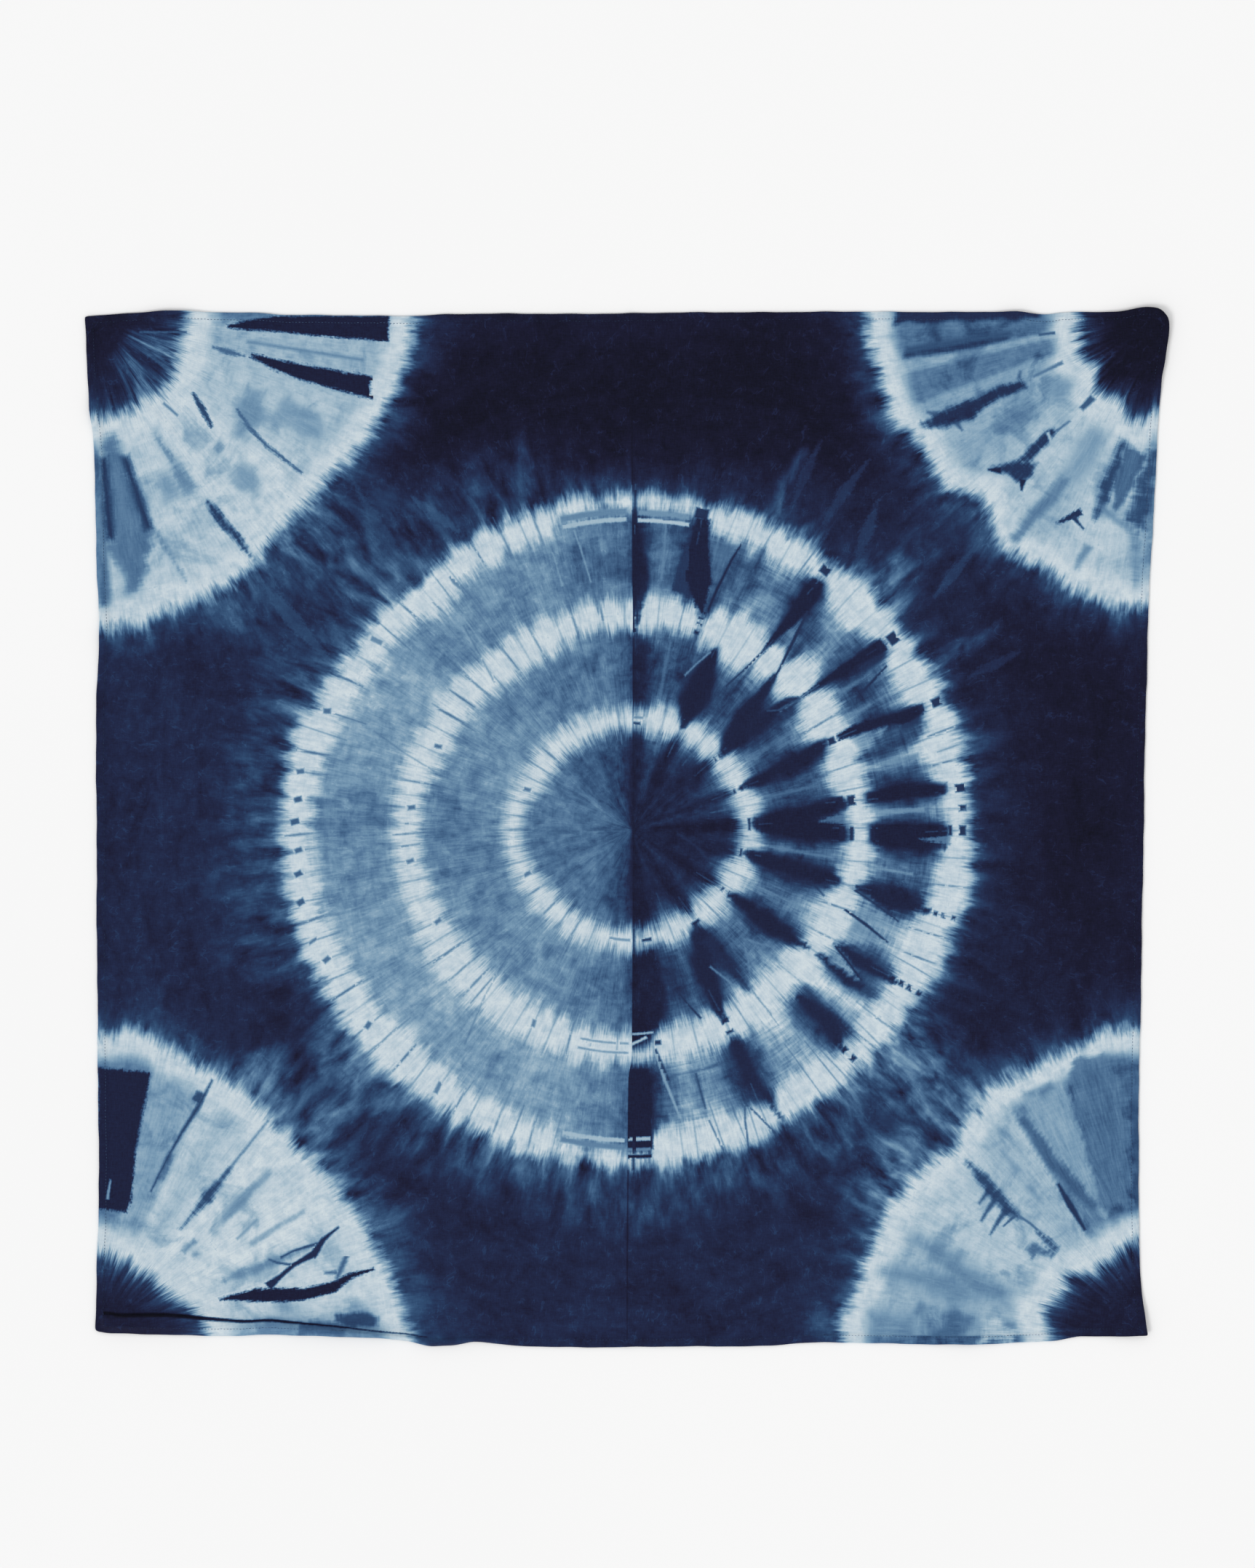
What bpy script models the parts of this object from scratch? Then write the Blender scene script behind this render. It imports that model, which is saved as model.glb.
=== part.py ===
"""A furoshiki wrapping cloth: one square of hemmed cotton, spread out flat.

Metres, +Z up. The cloth rests on the plane z = 0 with its middle over the
origin. +X runs to the right and +Y towards the upper edge. The tables below
are in millimetres, and MM turns them into metres.
"""

from typing import NamedTuple

import bmesh
import bpy
import numpy as np
from mathutils import Vector

MM = 0.001

CLOTH_THICKNESS = 1.2
HEM_THICKNESS = 2.2
HEM_WIDTH = 7.0
# The hem steps down to the single cloth over this distance.
HEM_STEP = 1.0
# The folded outer edge of the hem is rounded off over this distance.
HEM_ROUNDING = 1.0
HEM_EDGE_THICKNESS = 1.5

# Grid lines are about this far apart, away from the hem and the folds.
GRID_PITCH = 12.0

INDIGO = (0.018, 0.032, 0.085, 1.0)
COTTON_ROUGHNESS = 0.92


class EdgePoint(NamedTuple):
    """One point of an edge: its place along the edge, and how far out it lies."""

    along: float
    out: float


class RuckSection(NamedTuple):
    """The ruck beside the lower edge, at one place along it.

    The hem stands up as a strip, as wide as its lip is from the edge, with a
    steep inner side. A narrow slot follows, and from its foot inwards the
    cloth is flat again. Lip and foot are distances in from the edge.
    """

    x: float
    lip: float
    foot: float
    height: float


class CreaseSection(NamedTuple):
    """The upright fold down the middle, at one height: a pinched ridge."""

    y: float
    x: float
    height: float
    half_width: float


class EdgeLift(NamedTuple):
    """A soft wave of the hem off the surface, round a point on the outline."""

    x: float
    y: float
    reach_x: float
    reach_y: float
    height: float


class Corner(NamedTuple):
    """A corner's rounding, with the sides that meet there as -1 or +1."""

    side_x: int
    side_y: int
    radius: float


UPPER_EDGE = (
    EdgePoint(along=-461.7, out=435.6),
    EdgePoint(along=-420.0, out=438.0),
    EdgePoint(along=-389.0, out=440.2),
    EdgePoint(along=-345.0, out=439.0),
    EdgePoint(along=-310.0, out=438.3),
    EdgePoint(along=-288.0, out=436.4),
    EdgePoint(along=-185.0, out=436.0),
    EdgePoint(along=-150.0, out=437.3),
    EdgePoint(along=0.0, out=438.0),
    EdgePoint(along=120.0, out=439.2),
    EdgePoint(along=290.0, out=439.3),
    EdgePoint(along=330.0, out=439.2),
    EdgePoint(along=357.0, out=437.0),
    EdgePoint(along=372.0, out=438.8),
    EdgePoint(along=415.0, out=439.6),
    EdgePoint(along=444.0, out=443.0),
    EdgePoint(along=461.7, out=441.0),
)

LOWER_EDGE = (
    EdgePoint(along=-452.8, out=429.4),
    EdgePoint(along=-438.0, out=431.4),
    EdgePoint(along=-330.0, out=433.2),
    EdgePoint(along=-303.0, out=432.0),
    EdgePoint(along=-284.0, out=433.2),
    EdgePoint(along=-215.0, out=435.2),
    EdgePoint(along=-190.0, out=437.0),
    EdgePoint(along=-164.0, out=442.2),
    EdgePoint(along=-150.0, out=441.7),
    EdgePoint(along=-130.0, out=438.6),
    EdgePoint(along=-95.0, out=442.0),
    EdgePoint(along=-30.0, out=443.0),
    EdgePoint(along=115.0, out=441.9),
    EdgePoint(along=155.0, out=439.2),
    EdgePoint(along=288.0, out=440.6),
    EdgePoint(along=360.0, out=438.0),
    EdgePoint(along=388.0, out=434.0),
    EdgePoint(along=443.7, out=433.1),
)

LEFT_EDGE = (
    EdgePoint(along=-429.4, out=452.8),
    EdgePoint(along=-370.0, out=451.2),
    EdgePoint(along=-322.0, out=449.7),
    EdgePoint(along=-100.0, out=451.2),
    EdgePoint(along=110.0, out=451.9),
    EdgePoint(along=166.0, out=449.1),
    EdgePoint(along=236.0, out=451.9),
    EdgePoint(along=333.0, out=454.0),
    EdgePoint(along=357.0, out=457.7),
    EdgePoint(along=435.6, out=461.7),
)

RIGHT_EDGE = (
    EdgePoint(along=-433.1, out=443.7),
    EdgePoint(along=-385.0, out=437.8),
    EdgePoint(along=-278.0, out=436.0),
    EdgePoint(along=-100.0, out=438.8),
    EdgePoint(along=85.0, out=441.9),
    EdgePoint(along=179.0, out=444.4),
    EdgePoint(along=315.0, out=451.5),
    EdgePoint(along=381.0, out=455.6),
    EdgePoint(along=400.0, out=458.7),
    EdgePoint(along=428.7, out=461.7),
    EdgePoint(along=441.0, out=461.7),
)

RUCK = (
    RuckSection(x=-449.0, lip=12.3, foot=20.3, height=0.0),
    RuckSection(x=-442.0, lip=13.4, foot=20.4, height=4.5),
    RuckSection(x=-430.0, lip=14.3, foot=17.7, height=5.0),
    RuckSection(x=-395.0, lip=15.7, foot=18.7, height=4.5),
    RuckSection(x=-350.0, lip=12.6, foot=15.1, height=3.5),
    RuckSection(x=-320.0, lip=10.8, foot=13.2, height=3.2),
    RuckSection(x=-300.0, lip=10.4, foot=13.2, height=3.8),
    RuckSection(x=-250.0, lip=6.6, foot=11.4, height=5.0),
    RuckSection(x=-225.0, lip=4.7, foot=8.9, height=4.6),
    RuckSection(x=-200.0, lip=3.7, foot=7.0, height=3.2),
    RuckSection(x=-180.0, lip=4.3, foot=8.0, height=2.6),
    RuckSection(x=-158.0, lip=5.0, foot=11.5, height=2.8),
    RuckSection(x=-130.0, lip=3.4, foot=9.0, height=2.4),
    RuckSection(x=-108.0, lip=5.0, foot=11.0, height=1.4),
    RuckSection(x=-88.0, lip=7.0, foot=12.0, height=0.0),
)

CREASE = (
    CreaseSection(y=-443.0, x=0.5, height=0.6, half_width=8.0),
    CreaseSection(y=-330.0, x=0.8, height=1.0, half_width=9.0),
    CreaseSection(y=-215.0, x=1.6, height=1.5, half_width=9.0),
    CreaseSection(y=-195.0, x=4.6, height=2.0, half_width=9.0),
    CreaseSection(y=0.0, x=5.4, height=2.0, half_width=10.0),
    CreaseSection(y=90.0, x=5.4, height=1.5, half_width=11.0),
    CreaseSection(y=280.0, x=4.8, height=0.8, half_width=9.0),
    CreaseSection(y=443.0, x=3.0, height=0.7, half_width=8.0),
)

EDGE_LIFTS = (
    EdgeLift(x=458.0, y=441.0, reach_x=64.0, reach_y=52.0, height=4.0),
    EdgeLift(x=332.0, y=440.0, reach_x=24.0, reach_y=16.0, height=2.0),
    EdgeLift(x=-389.0, y=440.0, reach_x=42.0, reach_y=18.0, height=2.0),
    EdgeLift(x=-457.0, y=352.0, reach_x=18.0, reach_y=26.0, height=2.0),
    EdgeLift(x=-450.0, y=166.0, reach_x=18.0, reach_y=40.0, height=1.6),
    EdgeLift(x=457.0, y=392.0, reach_x=20.0, reach_y=28.0, height=2.2),
    EdgeLift(x=442.0, y=-430.0, reach_x=44.0, reach_y=44.0, height=3.0),
    EdgeLift(x=288.0, y=-440.0, reach_x=36.0, reach_y=16.0, height=1.6),
)

CORNERS = (
    Corner(side_x=-1, side_y=-1, radius=3.0),
    Corner(side_x=+1, side_y=-1, radius=2.0),
    Corner(side_x=-1, side_y=+1, radius=2.0),
    Corner(side_x=+1, side_y=+1, radius=12.0),
)

# Grid lines beside an edge, as distances in from it.
HEM_STATIONS = (0.0, HEM_ROUNDING, HEM_WIDTH, HEM_WIDTH + HEM_STEP)
# Grid lines over the crease, as shares of its half width.
CREASE_STATIONS = (-1.0, -0.45, -0.15, 0.0, 0.15, 0.45, 1.0)
# Grid lines over the ruck: shares of the way from the edge to the lip, then
# shares of the slot's width, then distances past the foot.
STRIP_STATIONS = (0.0, 0.12, 0.4, 0.55, 0.8)
SLOT_STATIONS = (0.0, 0.3, 1.0)
PAST_FOOT_STATIONS = (5.0,)
# The lines bend with each other, so a crossing is found in this many rounds.
PLACING_ROUNDS = 3
# The vertex group that holds the cloth's thickness, by its number.
THICKNESS_GROUP = 0
# How high the raised strip stands at its outer edge and at its lip, as shares
# of its height, and where along its width it is highest.
STRIP_EDGE_SHARE = 0.12
STRIP_LIP_SHARE = 0.88
STRIP_CREST_AT = 0.6


def read(rows: tuple, at: float, value: str) -> float:
    """Read a column of a table at a place that lies between its rows."""
    places = [row[0] for row in rows]
    values = [getattr(row, value) for row in rows]
    return float(np.interp(at, places, values))


def share_out(start: float, end: float, count: int) -> list[float]:
    """Return a number of places between two grid lines, evenly spaced."""
    return [start + (end - start) * k / (count + 1) for k in range(1, count + 1)]


class Grid:
    """The grid lines over the cloth: how many there are, and where they run."""

    def __init__(self) -> None:
        half_width = read(CREASE, 0.0, "x") + read(LEFT_EDGE, 0.0, "out")
        whole_height = read(LOWER_EDGE, 0.0, "out") + read(UPPER_EDGE, 0.0, "out")
        self.side_columns = round(half_width / GRID_PITCH)
        self.inner_rows = round(whole_height / GRID_PITCH)
        self.column_count = len(self.columns(0.0))
        self.row_count = len(self.rows(0.0))

    def columns(self, y: float) -> list[float]:
        """Return the x of every upright grid line at one height."""
        left = -read(LEFT_EDGE, y, "out")
        right = read(RIGHT_EDGE, y, "out")
        crease_x = read(CREASE, y, "x")
        half_width = read(CREASE, y, "half_width")
        over_left_hem = [left + station for station in HEM_STATIONS]
        over_crease = [crease_x + station * half_width for station in CREASE_STATIONS]
        over_right_hem = [right - station for station in reversed(HEM_STATIONS)]
        left_half = share_out(over_left_hem[-1], over_crease[0], self.side_columns)
        right_half = share_out(over_crease[-1], over_right_hem[0], self.side_columns)
        return over_left_hem + left_half + over_crease + right_half + over_right_hem

    def place(self, column: int, row: int) -> tuple[float, float]:
        """Return where an upright grid line crosses a level one."""
        x = 0.0
        y = self.rows(x)[row]
        for _ in range(PLACING_ROUNDS):
            x = self.columns(y)[column]
            y = self.rows(x)[row]
        return x, y

    def rows(self, x: float) -> list[float]:
        """Return the y of every level grid line at one place across the cloth."""
        lower = -read(LOWER_EDGE, x, "out")
        upper = read(UPPER_EDGE, x, "out")
        lip = lower + read(RUCK, x, "lip")
        foot = lower + read(RUCK, x, "foot")
        strip = [lower + (lip - lower) * share for share in STRIP_STATIONS]
        slot = [lip + (foot - lip) * share for share in SLOT_STATIONS]
        past_foot = [foot + distance for distance in PAST_FOOT_STATIONS]
        over_upper_hem = [upper - station for station in reversed(HEM_STATIONS)]
        middle = share_out(past_foot[-1], over_upper_hem[0], self.inner_rows)
        return strip + slot + past_foot + middle + over_upper_hem


def edge_distance(x: float, y: float) -> float:
    """Return how far in from the nearest edge a place lies."""
    from_left = x + read(LEFT_EDGE, y, "out")
    from_right = read(RIGHT_EDGE, y, "out") - x
    from_lower = y + read(LOWER_EDGE, x, "out")
    from_upper = read(UPPER_EDGE, x, "out") - y
    return max(0.0, min(from_left, from_right, from_lower, from_upper))


def round_corner(x: float, y: float, corner: Corner) -> tuple[float, float]:
    """Draw a place near one corner in, so that the corner is a round one."""
    upright = RIGHT_EDGE if corner.side_x > 0 else LEFT_EDGE
    level = UPPER_EDGE if corner.side_y > 0 else LOWER_EDGE
    centre_x = corner.side_x * (read(upright, y, "out") - corner.radius)
    centre_y = corner.side_y * (read(level, x, "out") - corner.radius)
    across = (x - centre_x) * corner.side_x
    along = (y - centre_y) * corner.side_y
    if across <= 0.0 or along <= 0.0:
        return x, y
    keep = max(across, along) / float(np.hypot(across, along))
    return centre_x + (x - centre_x) * keep, centre_y + (y - centre_y) * keep


def crease_height(x: float, y: float) -> float:
    """Return how far the middle fold lifts the cloth: a pinched ridge."""
    offset = abs(x - read(CREASE, y, "x")) / read(CREASE, y, "half_width")
    return read(CREASE, y, "height") * max(0.0, 1.0 - offset) ** 2


def ruck_height(x: float, y: float) -> float:
    """Return how far the ruck lifts the cloth: a crested strip with a steep inner side."""
    height = read(RUCK, x, "height")
    lower = -read(LOWER_EDGE, x, "out")
    lip = lower + read(RUCK, x, "lip")
    foot = lower + read(RUCK, x, "foot")
    slot_floor = lip + (foot - lip) * SLOT_STATIONS[1]
    crest = lower + (lip - lower) * STRIP_CREST_AT
    places = (lower, crest, lip, slot_floor)
    shares = (STRIP_EDGE_SHARE, 1.0, STRIP_LIP_SHARE, 0.0)
    return height * float(np.interp(y, places, shares))


def lift_height(x: float, y: float) -> float:
    """Return how far the soft waves of the hem lift the cloth."""
    total = 0.0
    for lift in EDGE_LIFTS:
        distance = ((x - lift.x) / lift.reach_x) ** 2 + ((y - lift.y) / lift.reach_y) ** 2
        total += lift.height * max(0.0, 1.0 - distance) ** 2
    return total


def underside(x: float, y: float) -> float:
    """Return the height of the cloth's underside over the surface it lies on."""
    return crease_height(x, y) + ruck_height(x, y) + lift_height(x, y)


def thickness(inset: float) -> float:
    """Return the cloth's thickness at a distance in from its edge, hem and all."""
    places = (0.0, HEM_ROUNDING, HEM_WIDTH, HEM_WIDTH + HEM_STEP)
    values = (HEM_EDGE_THICKNESS, HEM_THICKNESS, HEM_THICKNESS, CLOTH_THICKNESS)
    return float(np.interp(inset, places, values))


def cotton() -> bpy.types.Material:
    """Return the material of the cloth: matt cotton, dyed with indigo."""
    material = bpy.data.materials.new("indigo_cotton")
    material.use_nodes = True
    shader = material.node_tree.nodes["Principled BSDF"]
    shader.inputs["Base Color"].default_value = INDIGO
    shader.inputs["Roughness"].default_value = COTTON_ROUGHNESS
    shader.inputs["Metallic"].default_value = 0.0
    return material


def shape_cloth(shape: bmesh.types.BMesh, grid: Grid) -> None:
    """Lay a flat grid's vertices out as the underside, each with its share of the thickness."""
    shape.verts.index_update()
    share = shape.verts.layers.deform.verify()
    for vertex in shape.verts:
        row, column = divmod(vertex.index, grid.column_count)
        x, y = grid.place(column, row)
        height = underside(x, y)
        vertex[share][THICKNESS_GROUP] = thickness(edge_distance(x, y)) / HEM_THICKNESS
        for corner in CORNERS:
            x, y = round_corner(x, y, corner)
        vertex.co = Vector((x, y, height)) * MM


def make_cloth() -> bpy.types.Object:
    """Build the cloth: a grid shaped as its underside, thickened upwards."""
    grid = Grid()
    shape = bmesh.new()
    bmesh.ops.create_grid(shape, x_segments=grid.column_count - 1, y_segments=grid.row_count - 1, size=1.0)
    shape_cloth(shape, grid)
    mesh = bpy.data.meshes.new("cloth")
    shape.to_mesh(mesh)
    shape.free()
    mesh.materials.append(cotton())

    cloth = bpy.data.objects.new("cloth", mesh)
    cloth.vertex_groups.new(name="thickness")
    bpy.context.scene.collection.objects.link(cloth)
    solidify = cloth.modifiers.new("thickness", "SOLIDIFY")
    solidify.thickness = HEM_THICKNESS * MM
    solidify.offset = 1.0
    solidify.use_even_offset = True
    solidify.vertex_group = cloth.vertex_groups[THICKNESS_GROUP].name
    return cloth


def main() -> None:
    """Clear the scene and build the cloth in it."""
    for item in list(bpy.data.objects):
        bpy.data.objects.remove(item, do_unlink=True)
    make_cloth()


main()
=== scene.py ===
"""Furoshiki wrapping cloth, spread out flat: cotton, hemmed all round and tie-dyed with indigo.

Lengths in the tables are millimetres and angles are degrees. Angles run anticlockwise from
+X. Tones run from 0, the darkest indigo of the ground, to 1, undyed cotton.
"""

from __future__ import annotations

import json
import logging
import math
from dataclasses import dataclass, field
from enum import Enum
from typing import Callable, Iterator, NamedTuple, Sequence

import bmesh
import bpy
import numpy as np
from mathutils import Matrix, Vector

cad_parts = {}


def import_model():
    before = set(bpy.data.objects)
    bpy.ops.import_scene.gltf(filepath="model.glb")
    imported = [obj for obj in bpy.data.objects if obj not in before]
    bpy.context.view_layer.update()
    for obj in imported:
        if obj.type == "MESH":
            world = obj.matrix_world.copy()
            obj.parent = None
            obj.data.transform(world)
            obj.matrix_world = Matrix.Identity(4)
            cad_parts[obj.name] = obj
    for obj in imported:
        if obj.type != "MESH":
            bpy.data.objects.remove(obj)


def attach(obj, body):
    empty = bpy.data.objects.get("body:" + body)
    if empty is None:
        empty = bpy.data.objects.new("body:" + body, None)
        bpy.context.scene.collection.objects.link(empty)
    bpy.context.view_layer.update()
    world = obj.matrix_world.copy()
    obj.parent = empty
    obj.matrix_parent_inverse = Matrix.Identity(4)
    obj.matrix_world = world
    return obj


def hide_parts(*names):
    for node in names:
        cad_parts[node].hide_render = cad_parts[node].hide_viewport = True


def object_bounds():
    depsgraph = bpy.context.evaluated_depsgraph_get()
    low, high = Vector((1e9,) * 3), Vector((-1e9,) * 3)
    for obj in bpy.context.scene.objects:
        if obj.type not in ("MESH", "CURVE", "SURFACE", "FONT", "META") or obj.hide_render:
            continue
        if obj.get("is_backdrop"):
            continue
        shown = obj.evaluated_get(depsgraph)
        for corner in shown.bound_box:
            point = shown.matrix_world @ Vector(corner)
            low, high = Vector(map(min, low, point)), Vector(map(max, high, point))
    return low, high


LOG = logging.getLogger("furoshiki")
MM = 0.001
IMAGE_WIDTH = 1725
IMAGE_HEIGHT = 2156
MM_PER_PIXEL = 0.62
VIEW_CENTRE = (0.744, 36.9)
HALF_WIDTH = 452.0
WHOLE_HEIGHT = 876.0
FAR = 99.0
ARC_STEP = 4.0
UPRIGHT_COSINE = 0.03


class Side(Enum):
    """The two halves of the cloth, either side of its middle fold."""

    LEFT = -1
    RIGHT = 1


class Home(Enum):
    """Where a mark's table is measured from: its middle, or the cloth's own flat frame."""

    RINGS = (4.8, -2.2)
    TOP_LEFT = (-461.5, 435.8)
    TOP_RIGHT = (461.0, 441.0)
    LOWER_RIGHT = (443.7, -433.0)
    LOWER_LEFT = (-452.8, -429.4)
    FLAT = (0.0, 0.0)


class EdgePoint(NamedTuple):
    """One station of the cloth's outline."""

    along: float
    out: float


class FoldPoint(NamedTuple):
    """One station of the upright middle fold."""

    y: float
    x: float
    height: float
    half_width: float


class RuckPoint(NamedTuple):
    """One station of the ruck, with its lip and foot measured in from the lower edge."""

    x: float
    lip: float
    foot: float
    height: float


class Lift(NamedTuple):
    """A soft wave of the hem that stands off the surface."""

    x: float
    y: float
    reach_x: float
    reach_y: float
    height: float


class Rounding(NamedTuple):
    """A rounded corner of the cloth."""

    side_x: int
    side_y: int
    radius: float


class Ridge(NamedTuple):
    """A soft crease in the lying cloth, from one place to another; a trough has a height below 0."""

    x0: float
    y0: float
    x1: float
    y1: float
    height: float
    half_width: float


class Wave(NamedTuple):
    """One sine wave of a hand-turned hem."""

    length: float
    phase: float
    size: float


class BandPoint(NamedTuple):
    """One station of an undyed band: its edges at an angle, and how far its paleness fades past them."""

    angle: float
    inner: float
    outer: float
    inner_fade: float = 8.0
    outer_fade: float = 8.0


class Tone(NamedTuple):
    """The tone that a zone has at one angle."""

    angle: float
    tone: float


class Trail(NamedTuple):
    """A mark along a path of (angle, radius, half width) or (x, y, half width); most are dye, a few are
    painted shadow.
    """

    tone: float
    soft: float
    points: tuple[tuple[float, float, float], ...]
    strength: float = 1.0


class Crossing(NamedTuple):
    """A pleat that crosses a white band: the (radius, half depth) of each dark bar left on it."""

    angle: float
    half_width: float
    bars: tuple[tuple[float, float], ...]


class Knot(NamedTuple):
    """A short pleat line or dot that the binding thread left across a white band."""

    angle: float
    half_width: float
    start: float
    end: float
    tone: float


class FanTable(NamedTuple):
    """One corner's tied fan: the edges of its undyed band, its panels' tones and its marks."""

    edges: tuple[BandPoint, ...]
    panels: tuple[Tone, ...]
    blocks: tuple[Trail, ...]
    lines: tuple[Trail, ...]


def table_of(kind: type, *values: tuple) -> tuple:
    """Return a table's rows as named tuples of one kind."""
    return tuple(kind(*value) for value in values)


WAVER_X = table_of(Wave, (3.9, 0.8, 0.3), (9.3, 0.0, 0.5), (21.7, 2.0, 0.7))
WAVER_Y = table_of(Wave, (4.3, 0.0, 0.3), (8.7, 1.0, 0.5), (24.1, 0.0, 0.7))
PUCKERS = table_of(Wave, (1.35, 0.0, 0.5), (3.1, 0.7, 0.8), (7.9, 0.0, 0.6))
UPPER_EDGE = table_of(
    EdgePoint,
    (-461.7, 435.6), (-420, 438), (-389, 440.2), (-345, 439), (-310, 438.3), (-288, 436.4), (-185, 436),
    (-150, 437.3), (0, 438), (120, 439.2), (290, 439.3), (330, 439.2), (357, 437), (372, 438.8),
    (415, 439.6), (444, 443), (461.7, 441),
)
LOWER_EDGE = table_of(
    EdgePoint,
    (-452.8, 429.4), (-438, 431.4), (-330, 433.2), (-303, 432), (-284, 433.2), (-215, 435.2), (-190, 437),
    (-164, 442.2), (-150, 441.7), (-130, 438.6), (-95, 442), (-30, 443), (115, 441.9), (155, 439.2),
    (288, 440.6), (360, 438), (388, 434), (443.7, 433.1),
)
LEFT_EDGE = table_of(
    EdgePoint,
    (-429.4, 452.8), (-370, 451.2), (-322, 449.7), (-100, 451.2), (110, 451.9), (166, 449.1), (236, 451.9),
    (333, 454), (357, 457.7), (435.6, 461.7),
)
RIGHT_EDGE = table_of(
    EdgePoint,
    (-433.1, 443.7), (-385, 437.8), (-278, 436), (-100, 438.8), (85, 441.9), (179, 444.4), (315, 451.5),
    (381, 455.6), (400, 458.7), (428.7, 461.7), (441, 461.7),
)
FOLD = table_of(
    FoldPoint,
    (-443, 0.5, 0.6, 8), (-330, 0.8, 1, 9), (-215, 1.6, 1.5, 9), (-195, 4.6, 2, 9), (0, 5.4, 2, 10),
    (90, 5.4, 1.5, 11), (280, 4.8, 0.8, 9), (443, 3, 0.7, 8),
)
RUCK = table_of(
    RuckPoint,
    (-449, 12.3, 20.3, 0), (-442, 13.4, 20.4, 4.5), (-430, 14.3, 17.7, 5), (-395, 15.7, 18.7, 4.5),
    (-350, 12.6, 15.1, 3.5), (-320, 10.8, 13.2, 3.2), (-300, 10.4, 13.2, 3.8), (-250, 6.6, 11.4, 5),
    (-225, 4.7, 8.9, 4.6), (-200, 3.7, 7, 3.2), (-180, 4.3, 8, 2.6), (-158, 5, 11.5, 2.8),
    (-130, 3.4, 9, 2.4), (-108, 5, 11, 1.4), (-88, 7, 12, 0),
)
LIFTS = table_of(
    Lift,
    (458, 441, 64, 52, 4), (332, 440, 24, 16, 2), (-389, 440, 42, 18, 2), (-457, 352, 18, 26, 2),
    (-450, 166, 18, 40, 1.6), (457, 392, 20, 28, 2.2), (442, -430, 44, 44, 3), (288, -440, 36, 16, 1.6),
)
ROUNDINGS = table_of(
    Rounding,
    (-1, -1, 3), (1, -1, 2), (-1, 1, 2), (1, 1, 12),
)
RIDGES = table_of(
    Ridge,
    (-168, 395, 210, 396, 0.5, 5), (-448, 300, -330, 322, 0.6, 5), (-430, 372, -378, 330, 0.7, 6),
    (-318, 330, -262, 262, 0.8, 6), (-262, 300, -232, 246, 0.6, 5), (-410, 250, -330, 168, 0.7, 7),
    (310, 300, 240, 330, 0.7, 6), (360, 240, 330, 262, 0.8, 6), (404, 180, 380, 250, 0.7, 6),
    (300, 402, 214, 396, 0.6, 5), (-330, -214, -396, -318, 0.7, 6), (-240, -330, -336, -384, 0.7, 6),
    (292, -292, 366, -360, 0.7, 6), (214, -350, 300, -392, 0.6, 6), (-120, 160, -204, 268, 0.5, 6),
    (120, 150, 200, 250, 0.5, 6), (226, 8, 292, 10, 0.5, 4), (160, -120, 236, -176, 0.5, 6),
    (-300, 0, -210, -2, 0.4, 5), (-140, -150, -206, -222, 0.5, 6),
)
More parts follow.
